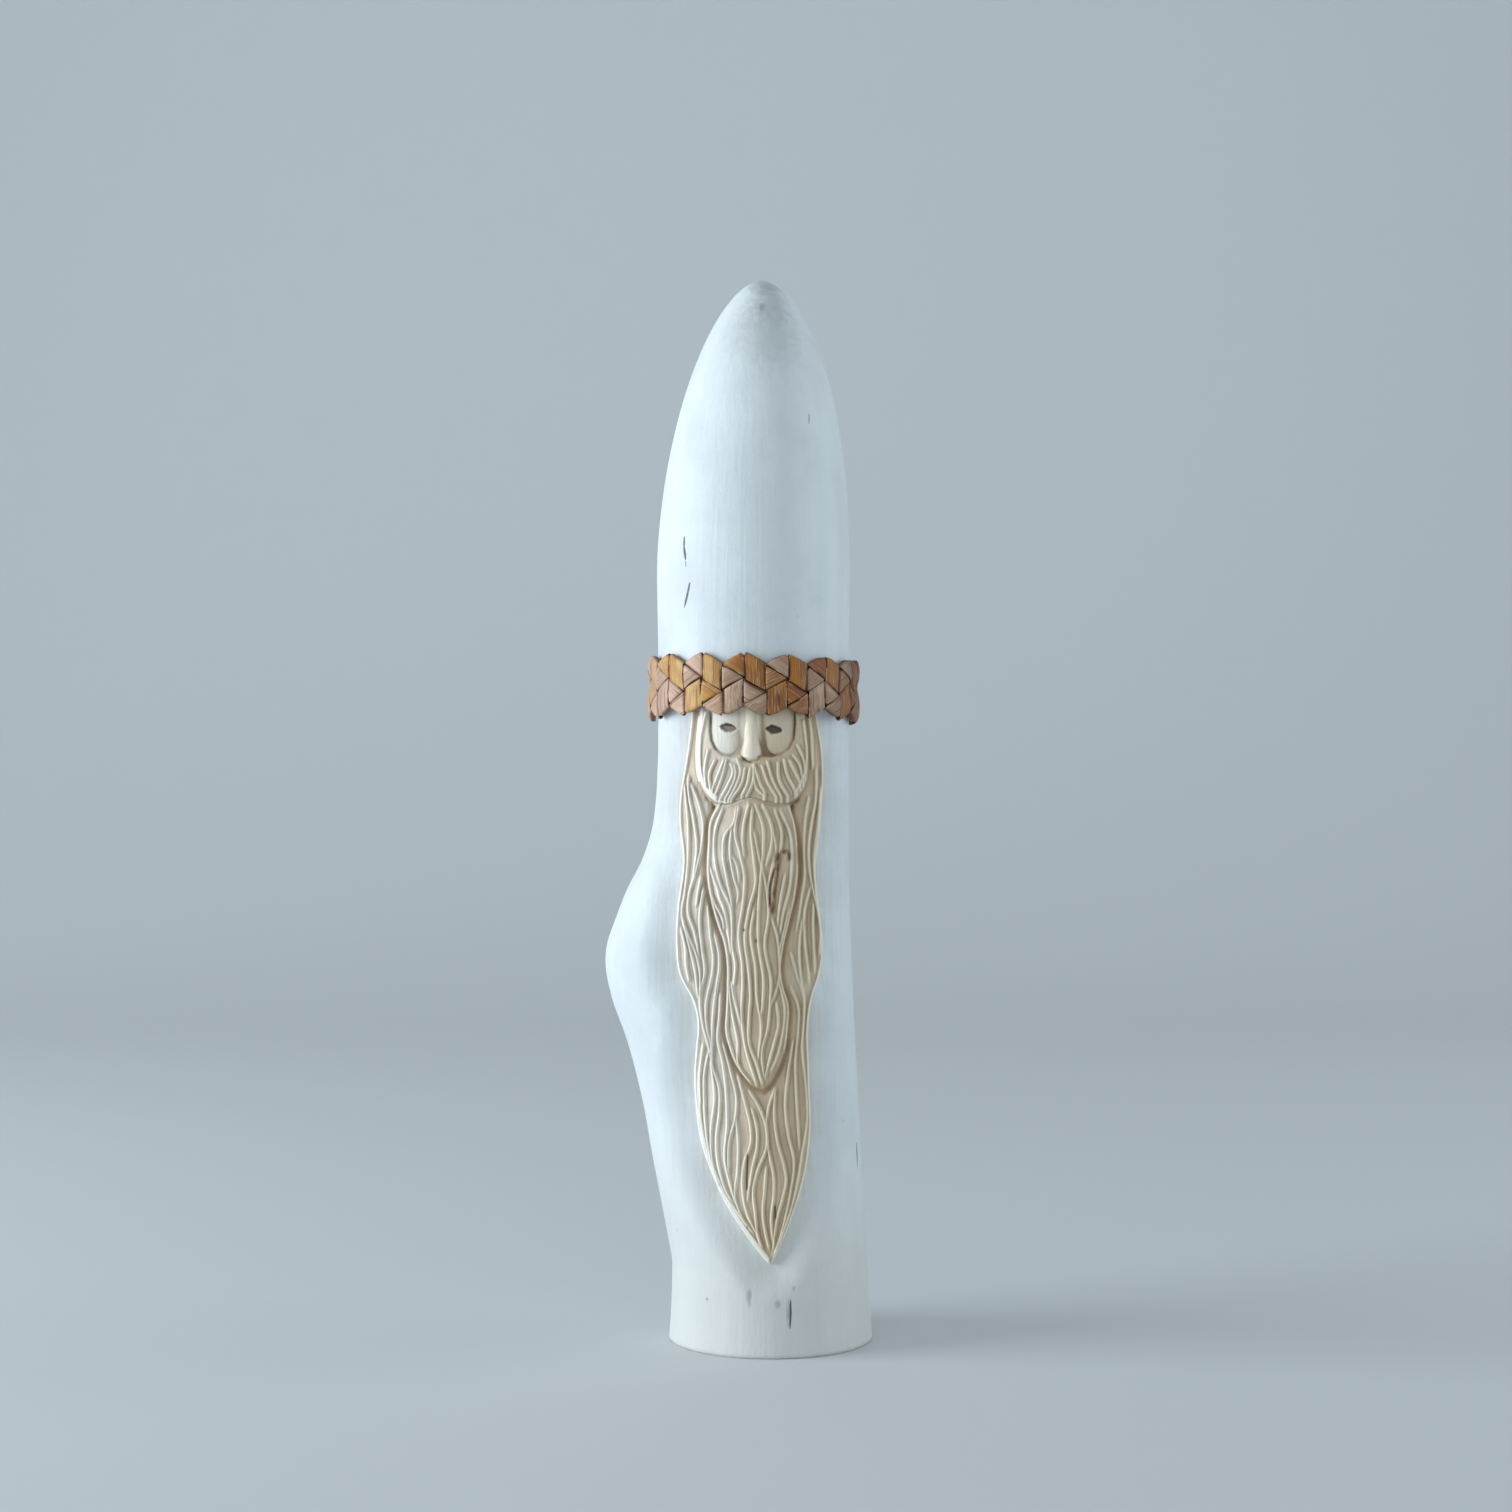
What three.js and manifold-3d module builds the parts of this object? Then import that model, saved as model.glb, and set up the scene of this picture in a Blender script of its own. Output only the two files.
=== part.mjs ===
// A santa figure carved from one branch: a white painted bullet shape with a bare wooden face,
// hair and three tiers of beard in relief, and a crown of birch bark round the brow, plaited
// from four folded strips. Millimetres, +Z up, the face towards -Y, +X to the viewer's right,
// origin at the centre of the flat sawn base.
import * as THREE from "three";
import * as BufferGeometryUtils from "three/addons/utils/BufferGeometryUtils.js";
import Module from "manifold-3d";

const wasm = await Module();
wasm.setup();

// The branch
const HEIGHT = 300;
const TRUNK_RADIUS = 27.2;
const FOOT_RADIUS = 29.1; // the branch flares where it was sawn off
const FOOT_FLARE = 18; // height over which most of the flare is gone
const FOOT_BEVEL = 0.6;
const LEAN = -4.9; // how far the axis has wandered to the left at LEAN_HEIGHT
const LEAN_HEIGHT = 150;
const HAT_RADIUS = 27.5;
const HAT_HEIGHT = 85; // the pointed stretch above the brow
const HAT_SHARPNESS = 0.56; // 0.5 is a half ellipse, more is more pointed
const TIP_RETURN = 2.2; // the tip swings back this far to the right
const KNOT_STANDOUT = 16.1; // the healed branch on the left side
const KNOT_HEIGHT = 105;
const KNOT_BELOW = 83; // it runs out this far under its top, and KNOT_ABOVE over it
const KNOT_ABOVE = 60;
const KNOT_ROUNDNESS = 1.3; // 1 swells the whole side, more keeps it to a knob

// The relief, cut back into the front of the branch
const CARVING_X = -5.2; // its middle line
const CARVING_TOP = 181; // under the crown
const CARVING_LENGTH = 154.9;
const HAIR_WIDTH = 39.6;
const TIP_X = -0.4; // where the lowest beard ends
const BEARD_TOP = 152;
const BEARD_LENGTH = 78.5;
const BEARD_WIDTH = 24.4;
const BEARD_TIP_X = -2.8;
const BIB_WIDTH = 30.4;
const BIB_BOTTOM = 151.8;
const BIB_NOTCH = 2; // how far the moustache's middle lies above its two lobes
const GROUND_DEPTH = 3.6; // how deep the white ground is scooped beside the hair
const GROUND_REACH = 11; // how far out the scoop fades away
const GROUND_FACING = 0.7; // it also fades where the branch turns away to its sides
const HAIR_DEPTH = 1.5;
const BEARD_DEPTH = 0.7;
const BIB_DEPTH = 0.05;
const FACE_DEPTH = 2.7;

// The face
const FACE_WIDTH = 26;
const FACE_BOTTOM = 162.6;
const NOSE_X = -5.9;
const NOSE_BOTTOM = 163.9;
const NOSE_TIP_WIDTH = 5.2;
const NOSE_BRIDGE_WIDTH = 3.2;
const CHEEK_WIDTH = 8.6;
const CHEEK_HEIGHT = 13.4;
const CHEEK_RISE = 1.8; // how far a cheek swells out of the face's floor
const CHEEK_SPREAD = 7.4; // from the nose to the middle of a cheek
const CHEEK_Z = 171.6;
const EYE_WIDTH = 4.7;
const EYE_HEIGHT = 2.2;
const EYE_DEPTH = 1.1;
const EYE_SPREAD = 6.1;
const EYE_Z = 172.6;

// The crown
const POINTS = 15; // points round each rim
const CROWN_CLEARANCE = 0.3;
const CROWN_HEIGHT_CENTRE = 184.5;
const CROWN_TILT = 0.018; // the right side sits a little lower
const CROWN_TURN = -5.1; // degrees from the front to the rim's middle point
const BARK = 0.5; // thickness
const LAYER_GAP = 0.2;
const EDGE_GAP = 0.5; // between two strips that lie side by side
const FOLD_WALL = 0.1; // bark left inside a fold's line, and FOLD_NOSE outside it
const FOLD_NOSE = 0.2;
const CLIMB_START = 0.13; // how far before a line a strip starts to change layers
const CLIMB_END = 0.1; // and how far past it the strip has done so
const END_GAP = 0.2; // where a strip's two hidden ends meet
const LONG_STRIP_TURNS = 8; // zigzags of the first strip of a pair, the second has the rest

const ringsBelowHat = 33;
const ringsInHat = 12;
const segmentsAround = 40;
const frontCrowding = 0.4; // brings the segments closer together at the front

const WHITE_PAINT = { color: 0xe6ecef, roughness: 0.62, metalness: 0 };
const GOLD_BARK = { color: 0xb88745, roughness: 0.55, metalness: 0 };
const PINK_BARK = { color: 0xc29e8a, roughness: 0.6, metalness: 0 };
const AMBER_BARK = { color: 0x9e6630, roughness: 0.55, metalness: 0 };

const smooth = (share) => THREE.MathUtils.smoothstep(share, 0, 1);

// A smooth function through [place, value] pairs
function through(pairs) {
  const curve = new THREE.CubicInterpolant(
    pairs.map((pair) => pair[0]),
    pairs.map((pair) => pair[1]),
    1,
  );
  return (place) => curve.evaluate(place)[0];
}

// Stand-out of the healed branch, from its foot at -1 over its top at 0 to its upper end at 1
const knotProfile = through([
  [-1, 0], [-0.66, 0.31], [-0.46, 0.45], [-0.25, 0.68], [-0.1, 0.92], [0, 1],
  [0.12, 0.95], [0.22, 0.81], [0.37, 0.58], [0.51, 0.3], [0.65, 0.12], [0.8, 0.04], [1, 0],
]);

function knot(z) {
  const above = z > KNOT_HEIGHT;
  const place = (z - KNOT_HEIGHT) / (above ? KNOT_ABOVE : KNOT_BELOW);
  return Math.abs(place) < 1 ? KNOT_STANDOUT * Math.max(knotProfile(place), 0) : 0;
}

const hatStart = HEIGHT - HAT_HEIGHT;

function axisX(z) {
  const lean = LEAN * smooth(z / LEAN_HEIGHT);
  return lean + TIP_RETURN * smooth((z - hatStart) / HAT_HEIGHT);
}

function radius(z) {
  const flare = (FOOT_RADIUS - TRUNK_RADIUS) * Math.exp(-z / FOOT_FLARE);
  const crownTop = CROWN_HEIGHT_CENTRE + crownHalfHeight;
  const widening = (HAT_RADIUS - TRUNK_RADIUS) * smooth((z - crownTop) / (hatStart - crownTop));
  const inHat = Math.max((z - hatStart) / HAT_HEIGHT, 0);
  const pointing = Math.pow(Math.max(1 - inHat * inHat, 0), HAT_SHARPNESS);
  return (TRUNK_RADIUS + flare + widening) * pointing;
}

// The branch's surface at an angle from the front, positive to the viewer's right, sunk by a
// depth. The healed branch stands out to the left only.
function surface(angle, z, depth) {
  const side = Math.sin(angle);
  const r = Math.max(radius(z) - depth, 0);
  const knob = side < 0 ? knot(z) * Math.pow(-side, KNOT_ROUNDNESS) : 0;
  return new THREE.Vector3(axisX(z) + r * side - knob, -r * Math.cos(angle), z);
}

// A closed solid between the sawn base and the tip, whose surface lies under the branch's by
// depth(angle, z). It is a lathe whose vertices are moved out to that surface.
function branchSolid(depth) {
  const profile = [new THREE.Vector2(0, 0), new THREE.Vector2(1, 0)];
  for (let i = 0; i < ringsBelowHat; i++) {
    const share = i / ringsBelowHat;
    profile.push(new THREE.Vector2(1, FOOT_BEVEL + (hatStart - FOOT_BEVEL) * share));
  }
  for (let i = 0; i < ringsInHat; i++) {
    const share = Math.sin((i / ringsInHat) * (Math.PI / 2));
    profile.push(new THREE.Vector2(1, hatStart + HAT_HEIGHT * share));
  }
  profile.push(new THREE.Vector2(0, HEIGHT));
  const lathe = new THREE.LatheGeometry(profile, segmentsAround);
  const places = lathe.getAttribute("position");
  for (let i = 0; i < places.count; i++) {
    const share = Math.hypot(places.getX(i), places.getZ(i));
    const z = places.getY(i);
    const even = Math.atan2(places.getX(i), places.getZ(i));
    const angle = even - frontCrowding * Math.sin(even);
    const bevel = z < FOOT_BEVEL ? FOOT_BEVEL : 0;
    const point = surface(angle, z, depth(angle, z) + bevel);
    if (share < 0.5) point.set(axisX(z), 0, z);
    places.setXYZ(i, point.x, point.y, point.z);
  }
  return solid(lathe);
}

// A geometry as a manifold solid, turned the right way out
function solid(geometry) {
  geometry.deleteAttribute("normal");
  geometry.deleteAttribute("uv");
  const merged = BufferGeometryUtils.mergeVertices(geometry, 1e-4);
  const corners = merged.getIndex().array;
  const kept = [];
  for (let i = 0; i < corners.length; i += 3) {
    const [a, b, c] = corners.slice(i, i + 3);
    if (a !== b && b !== c && c !== a) kept.push(a, b, c);
  }
  const build = (triangles) => new wasm.Manifold(new wasm.Mesh({
    numProp: 3,
    vertProperties: new Float32Array(merged.getAttribute("position").array),
    triVerts: new Uint32Array(triangles),
  }));
  const first = build(kept);
  if (first.volume() > 0) return first;
  const turned = [];
  for (let i = 0; i < kept.length; i += 3) turned.push(kept[i], kept[i + 2], kept[i + 1]);
  return build(turned);
}

function geometryOf(manifold) {
  const mesh = manifold.getMesh();
  const geometry = new THREE.BufferGeometry();
  geometry.setAttribute("position", new THREE.BufferAttribute(mesh.vertProperties, 3));
  geometry.setIndex(new THREE.BufferAttribute(mesh.triVerts, 1));
  return geometry;
}

// A block standing out of the front of the branch over an outline seen from the front
const frontReach = 2 * (TRUNK_RADIUS + KNOT_STANDOUT);

function frontBlock(shape, curveSegments) {
  const block = new THREE.ExtrudeGeometry(shape, {
    depth: frontReach,
    steps: 1,
    bevelEnabled: false,
    curveSegments,
  });
  block.rotateX(Math.PI / 2);
  return solid(block);
}

// An outline through points [share of the length, left share, right share] of a tier that
// hangs from top by length, its half width times the shares to either side of a middle line
function tierShape(rows, top, length, width, middle, tipX) {
  const z = (share) => top - share * length;
  const left = rows.map((row) => new THREE.Vector2(middle - (row[1] * width) / 2, z(row[0])));
  const right = rows.map((row) => new THREE.Vector2(middle + (row[2] * width) / 2, z(row[0])));
  const tip = new THREE.Vector2(tipX, top - length);
  const shape = new THREE.Shape();
  shape.moveTo(left[0].x, left[0].y);
  shape.splineThru([...left.slice(1), tip]);
  shape.splineThru([...right.slice().reverse()]);
  shape.closePath();
  return shape;
}

const hairRows = [
  [0, 0.82, 0.84], [0.06, 0.86, 0.93], [0.16, 0.97, 0.98], [0.22, 1, 0.95], [0.29, 0.94, 0.86],
  [0.37, 1.03, 0.92], [0.44, 1.04, 0.965], [0.49, 0.99, 0.92], [0.54, 0.79, 0.79],
  [0.6, 0.75, 0.74], [0.67, 0.8, 0.77], [0.74, 0.76, 0.81], [0.81, 0.62, 0.76],
  [0.88, 0.4, 0.62], [0.95, 0.1, 0.42],
];
const beardRows = [
  [0, 0.45, 0.45], [0.025, 0.8, 0.84], [0.075, 0.97, 0.94], [0.2, 1, 1.02], [0.3, 0.97, 0.95],
  [0.42, 0.82, 0.84], [0.52, 0.57, 0.66], [0.6, 0.56, 0.65], [0.7, 0.62, 0.76],
  [0.8, 0.6, 0.75], [0.89, 0.43, 0.66], [0.95, 0.16, 0.52],
];

// Half width of the hair's outline on the side of x, for the scooped ground beside it
const hairLeft = through(hairRows.map((row) => [row[0], (row[1] * HAIR_WIDTH) / 2]));
const hairRight = through(hairRows.map((row) => [row[0], (row[2] * HAIR_WIDTH) / 2]));

function groundDepth(angle, z) {
  const { x } = surface(angle, z, 0);
  const facing = smooth(Math.cos(angle) / GROUND_FACING);
  const share = (CARVING_TOP - z) / CARVING_LENGTH;
  const along = THREE.MathUtils.clamp(share, 0, hairRows[hairRows.length - 1][0]);
  const half = x < CARVING_X ? hairLeft(along) : hairRight(along);
  const aside = Math.max(Math.abs(x - CARVING_X) - half, 0);
  const past = Math.max(CARVING_TOP - CARVING_LENGTH - z, 0);
  const above = Math.max(z - (CROWN_HEIGHT_CENTRE - crownHalfHeight), 0);
  const away = Math.hypot(aside, past) / GROUND_REACH;
  return GROUND_DEPTH * facing * (1 - smooth(away)) * (1 - smooth(above / crownHalfHeight));
}

// The moustache and upper beard: a bib with two round lobes at the bottom and a notch between
function bibShape() {
  const half = BIB_WIDTH / 2;
  const low = BIB_BOTTOM;
  const shape = new THREE.Shape();
  shape.moveTo(CARVING_X - half, CARVING_TOP);
  shape.lineTo(CARVING_X - half, low + half * 0.62);
  shape.bezierCurveTo(
    CARVING_X - half, low + half * 0.2, CARVING_X - half * 0.8, low, CARVING_X - half * 0.52, low,
  );
  shape.quadraticCurveTo(CARVING_X - half * 0.2, low, CARVING_X, low + BIB_NOTCH);
  shape.quadraticCurveTo(CARVING_X + half * 0.2, low, CARVING_X + half * 0.5, low);
  shape.bezierCurveTo(
    CARVING_X + half * 0.85, low, CARVING_X + half, low + half * 0.25,
    CARVING_X + half, low + half * 0.62,
  );
  shape.lineTo(CARVING_X + half, CARVING_TOP);
  shape.closePath();
  return shape;
}

// The face's floor: an arch standing on its head, cut down into the bib under the crown
function faceShape() {
  const half = FACE_WIDTH / 2;
  const shape = new THREE.Shape();
  shape.moveTo(CARVING_X - half, CARVING_TOP - 1);
  shape.lineTo(CARVING_X - half, FACE_BOTTOM + half * 0.6);
  shape.bezierCurveTo(
    CARVING_X - half, FACE_BOTTOM, CARVING_X + half, FACE_BOTTOM,
    CARVING_X + half, FACE_BOTTOM + half * 0.6,
  );
  shape.lineTo(CARVING_X + half, CARVING_TOP - 1);
  shape.closePath();
  return shape;
}

function noseShape() {
  const wing = NOSE_TIP_WIDTH / 2;
  const bridge = NOSE_BRIDGE_WIDTH / 2;
  const shape = new THREE.Shape();
  shape.moveTo(NOSE_X - bridge, CARVING_TOP);
  shape.lineTo(NOSE_X - bridge, NOSE_BOTTOM + 2.2 * wing);
  shape.quadraticCurveTo(NOSE_X - wing, NOSE_BOTTOM + 1.4 * wing, NOSE_X - wing, NOSE_BOTTOM + wing);
  shape.absarc(NOSE_X, NOSE_BOTTOM + wing, wing, Math.PI, 2 * Math.PI, false);
  shape.quadraticCurveTo(
    NOSE_X + wing, NOSE_BOTTOM + 1.4 * wing, NOSE_X + bridge, NOSE_BOTTOM + 2.2 * wing,
  );
  shape.lineTo(NOSE_X + bridge, CARVING_TOP);
  shape.closePath();
  return shape;
}

// An ellipsoid on the front of the branch, its middle at a depth under the surface
function frontEllipsoid(x, z, width, height, reach, depth) {
  const angle = Math.asin((x - axisX(z)) / radius(z));
  const middle = surface(angle, z, depth);
  const ball = new THREE.SphereGeometry(1, 16, 10);
  ball.rotateX(Math.PI / 2);
  ball.scale(width / 2, reach, height / 2);
  ball.rotateZ(angle);
  ball.translate(middle.x, middle.y, middle.z);
  return solid(ball);
}

// The branch with its scooped ground, the three tiers of the relief, and the face cut into them
function carvedBody() {
  const at = (depth) => branchSolid(() => depth);
  const hair = frontBlock(
    tierShape(hairRows, CARVING_TOP, CARVING_LENGTH, HAIR_WIDTH, CARVING_X, TIP_X), 3,
  );
  const beard = frontBlock(
    tierShape(beardRows, BEARD_TOP, BEARD_LENGTH, BEARD_WIDTH, CARVING_X, BEARD_TIP_X), 3,
  );
  const bib = frontBlock(bibShape(), 6);
  const face = frontBlock(faceShape(), 10).subtract(at(FACE_DEPTH));
  let body = branchSolid(groundDepth)
    .add(hair.intersect(at(HAIR_DEPTH)))
    .add(beard.intersect(at(BEARD_DEPTH)))
    .add(bib.intersect(at(BIB_DEPTH)))
    .subtract(face);
  for (const side of [-1, 1]) {
    const x = NOSE_X + side * CHEEK_SPREAD;
    body = body.add(frontEllipsoid(x, CHEEK_Z, CHEEK_WIDTH, CHEEK_HEIGHT, CHEEK_RISE, FACE_DEPTH));
  }
  body = body.add(frontBlock(noseShape(), 5).intersect(at(BIB_DEPTH)));
  for (const side of [-1, 1]) {
    const x = NOSE_X + side * EYE_SPREAD;
    const depth = FACE_DEPTH - CHEEK_RISE;
    body = body.subtract(frontEllipsoid(x, EYE_Z, EYE_WIDTH, EYE_HEIGHT, EYE_DEPTH, depth));
  }
  return geometryOf(body);
}

// The crown's plait. It is worked out flat, with x along the band to the viewer's right and y
// up, in columns as wide as a strip with its gap, and then wrapped round the brow as a prism
// with one flat face to a column. Three layers of bark lie everywhere.
const columns = 2 * POINTS;
const columnTurn = (2 * Math.PI) / columns;
const layerPitch = BARK + LAYER_GAP;
const layerRadius = (layer) =>
  TRUNK_RADIUS + CROWN_CLEARANCE + BARK / 2 + (layer - 1) * layerPitch;
const column = 2 * layerRadius(2) * Math.tan(columnTurn / 2);
const slope = Math.tan(Math.PI / 6);
const slanted = column / Math.cos(Math.PI / 6); // length of a crossing strip's cut edge
const crownHalfHeight = slanted + (column * slope) / 2;
const rimTop = crownHalfHeight;
const rimBottom = rimTop - 2 * slanted; // where the lower fold starts, the band is centred on 0
const inset = EDGE_GAP / 2;

// Lines in the flat plait: upright, or rising or falling to the right, with a shift square to
// the line, which is up for the slanting ones
const upright = (x) => ({ x });
const rising = (y, atX, shift) => ({ rise: slope, y: y - slope * atX + shift / Math.cos(Math.PI / 6) });
const falling = (y, atX, shift) => ({ rise: -slope, y: y + slope * atX + shift / Math.cos(Math.PI / 6) });

function meet(edge, across) {
  if (edge.x !== undefined) return [edge.x, across.y + across.rise * edge.x];
  if (across.x !== undefined) return [across.x, edge.y + edge.rise * across.x];
  const x = (across.y - edge.y) / (edge.rise - across.rise);
  return [x, edge.y + edge.rise * x];
}

// A point of the flat plait on the figure, at a radius measured to the middle of its column
function wrap([x, y], r) {
  const index = Math.floor(x / column);
  const turn = THREE.MathUtils.degToRad(CROWN_TURN) + (index + 0.5) * columnTurn;
  const along = (x / column - index - 0.5) * 2 * r * Math.tan(columnTurn / 2);
  const px = r * Math.sin(turn) + along * Math.cos(turn);
  const py = -r * Math.cos(turn) + along * Math.sin(turn);
  return new THREE.Vector3(
    axisX(CROWN_HEIGHT_CENTRE) + px, py, CROWN_HEIGHT_CENTRE + y - CROWN_TILT * px,
  );
}

// One strip, as cross sections from end to end. It goes up a column from behind, comes out on
// top, folds back over the upper rim, runs down to the left through two columns and part of a
// third, comes out on top again, folds back under the lower rim and goes up two points further
// round. The mirrored strands do the same upside down. Layer 1 is the innermost.
function stripGeometry(firstPoint, turns, mirrored) {
  const sections = [];
  const flip = ([x, y]) => (mirrored ? [x - column, -y] : [x, y]);

  // The strip's two edges in an upright or a crossing stretch that starts at column x, and
  // whether its outer face looks away from the figure there
  const uprightRun = (x) => ({
    edges: [upright(x + inset), upright(x + column - inset)], outward: 1,
  });
  const crossingRun = (x) => ({
    edges: [rising(rimTop, x, -inset), rising(rimTop - slanted, x, inset)], outward: -1,
  });

  // A cross section on a line, with both faces at their radii, or each on a line of its own
  const section = (run, outerLine, outerRadius, innerLine, innerRadius) => {
    const corners = run.edges.map((edge) => [meet(edge, outerLine), meet(edge, innerLine)]);
    sections.push([
      wrap(flip(corners[0][0]), outerRadius), wrap(flip(corners[1][0]), outerRadius),
      wrap(flip(corners[1][1]), innerRadius), wrap(flip(corners[0][1]), innerRadius),
    ]);
  };
  const across = (run, line, layer) => {
    const half = (run.outward * BARK) / 2;
    section(run, line, layerRadius(layer) + half, line, layerRadius(layer) - half);
  };

  // A change of layers over a line given as a function of a shift, which rises the way the
  // line is come from
  const climb = (run, line, fromLayer, toLayer, start = CLIMB_START, end = CLIMB_END) => {
    across(run, line(start), fromLayer);
    across(run, line(-end), toLayer);
  };

  // A fold from the outermost layer back to the innermost, round the edge of the strip that
  // runs along the rim between them. The face on the fold's outside reaches over the line.
  const fold = (from, to, line, inwards) => {
    const half = (from.outward * BARK) / 2;
    const crease = line(inwards * FOLD_WALL);
    const faces = (edge) => (from.outward > 0 ? [edge, crease] : [crease, edge]);
    const [outerRim, innerRim] = faces(line(0));
    const [outerNose, innerNose] = faces(line(-inwards * FOLD_NOSE));
    section(from, outerRim, layerRadius(3) + half, innerRim, layerRadius(3) - half);
    section(from, outerNose, layerRadius(2), innerNose, layerRadius(2));
    const nose = sections.pop();
    section(to, outerNose, layerRadius(2), innerNose, layerRadius(2));
    const other = sections.pop();
    sections.push(nose.map((corner, i) => corner.clone().lerp(other[i], 0.5)));
    section(to, outerRim, layerRadius(1) - half, innerRim, layerRadius(1) + half);
  };

  const backPlace = (x) => (shift) => upright(x + shift);
  const middle = rimTop - slanted; // where the zigzag between the two rows has its peaks
  for (let turn = -1; turn < turns; turn++) {
    const x = 2 * (firstPoint - 2 * turn) * column;
    const up = uprightRun(x);
    const down = crossingRun(x);
    const next = uprightRun(x - 4 * column);
    const hiddenCut = x - 2 * column; // a strip ends there under another
    if (turn >= 0) {
      climb(up, (shift) => rising(rimBottom, x, -shift), 1, 2);
      climb(up, (shift) => falling(middle, x, -shift), 2, 3);
      fold(up, down, (shift) => falling(rimTop, x, shift), -1);
      climb(down, backPlace(x), 1, 2);
      climb(down, (shift) => falling(middle, x, shift), 2, 3);
      climb(down, backPlace(x - column), 3, 2, CLIMB_START, CLIMB_START);
      climb(down, (shift) => falling(middle, hiddenCut, shift), 2, 1, CLIMB_END, CLIMB_START);
    }
    if (turn === turns - 1) {
      across(down, upright(hiddenCut + END_GAP / 2), 1);
      break;
    }
    across(down, upright(hiddenCut - (turn < 0 ? END_GAP / 2 : 0)), 1);
    climb(down, (shift) => falling(rimBottom, hiddenCut, shift), 1, 2);
    climb(down, backPlace(x - 3 * column), 2, 3);
    fold(down, next, (shift) => falling(rimBottom, x - 4 * column, shift), 1);
  }
  return sweep(sections);
}

// Cross sections of four corners joined into one closed body
function sweep(sections) {
  const points = sections.flat().flatMap((corner) => corner.toArray());
  const faces = [];
  const quad = (a, b, c, d) => faces.push(a, b, c, a, c, d);
  for (let i = 0; i + 1 < sections.length; i++) {
    for (let side = 0; side < 4; side++) {
      const next = (side + 1) % 4;
      quad(4 * i + side, 4 * i + next, 4 * i + 4 + next, 4 * i + 4 + side);
    }
  }
  const last = 4 * (sections.length - 1);
  quad(3, 2, 1, 0);
  quad(last, last + 1, last + 2, last + 3);
  const geometry = new THREE.BufferGeometry();
  geometry.setAttribute("position", new THREE.Float32BufferAttribute(points, 3));
  geometry.setIndex(faces);
  return geometryOf(solid(geometry));
}

function named(name, geometry, finish) {
  const mesh = new THREE.Mesh(geometry, new THREE.MeshStandardMaterial(finish));
  mesh.name = name;
  return mesh;
}

const figure = new THREE.Group();
figure.add(named("carved_body", carvedBody(), WHITE_PAINT));

// Each strand goes twice round the brow, and is two strips whose ends meet at the back
const backPoint = Math.floor(POINTS / 2);
const shortStripTurns = POINTS - LONG_STRIP_TURNS;
for (const [strand, mirrored, finishes] of [
  ["rising", false, [GOLD_BARK, GOLD_BARK]], ["falling", true, [PINK_BARK, AMBER_BARK]],
]) {
  const first = stripGeometry(backPoint, LONG_STRIP_TURNS, mirrored);
  const second = stripGeometry(backPoint - 2 * LONG_STRIP_TURNS, shortStripTurns, mirrored);
  figure.add(named(`bark_strip_${strand}_1`, first, finishes[0]));
  figure.add(named(`bark_strip_${strand}_2`, second, finishes[1]));
}

export default figure;
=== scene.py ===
"""A santa figure carved from one branch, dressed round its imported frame.

The branch is painted white, with a bare wooden face, hair and beards cut into its front, and a
crown of birch bark plaited round the brow. Sizes here are millimetres until a mesh is written,
with the figure's own axes: +X to the viewer's right, the face towards -Y, +Z up.
"""

import logging
import math
from collections.abc import Callable, Iterable, Sequence
from dataclasses import dataclass, field
from enum import Enum

import bmesh
import bpy
import numpy as np
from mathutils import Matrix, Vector


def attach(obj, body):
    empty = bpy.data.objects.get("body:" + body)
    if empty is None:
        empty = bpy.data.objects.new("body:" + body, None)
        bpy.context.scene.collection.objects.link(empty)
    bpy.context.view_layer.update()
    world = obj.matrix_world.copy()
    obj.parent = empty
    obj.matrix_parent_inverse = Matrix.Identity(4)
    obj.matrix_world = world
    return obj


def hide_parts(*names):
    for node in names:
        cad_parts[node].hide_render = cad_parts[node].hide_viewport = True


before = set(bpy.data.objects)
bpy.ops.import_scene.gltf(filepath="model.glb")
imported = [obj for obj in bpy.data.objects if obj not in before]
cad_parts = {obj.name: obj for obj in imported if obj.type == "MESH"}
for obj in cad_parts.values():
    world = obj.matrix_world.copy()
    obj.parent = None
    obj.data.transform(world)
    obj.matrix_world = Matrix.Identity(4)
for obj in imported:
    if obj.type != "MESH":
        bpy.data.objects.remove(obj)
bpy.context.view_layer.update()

log = logging.getLogger("santa_figure")

MM = 0.001
TINY = 1e-9
WELD = 1e-7
BODY = "root"
CARVED_NODE = "carved_body"
WAVE_SPREAD = (0.85, 1.15)
WAVE_HEIGHT = 1.6
BACK_BULGE = 1.2
BACK_ROUNDING = 0.12

Array = np.ndarray
Curve = Callable[[Array], Array]
Points = Sequence[tuple[float, float]]


def smooth(share: Array) -> Array:
    """Eases a share from 0 to 1, and holds it there outside."""
    held = np.clip(share, 0.0, 1.0)
    return held * held * (3.0 - 2.0 * held)


def bell(off: Array, half: Array | float, power: int = 2) -> Array:
    """A soft mound, 1 in its middle, that has fallen to about a third at its half width."""
    return np.exp(-((off / half) ** power))


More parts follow.
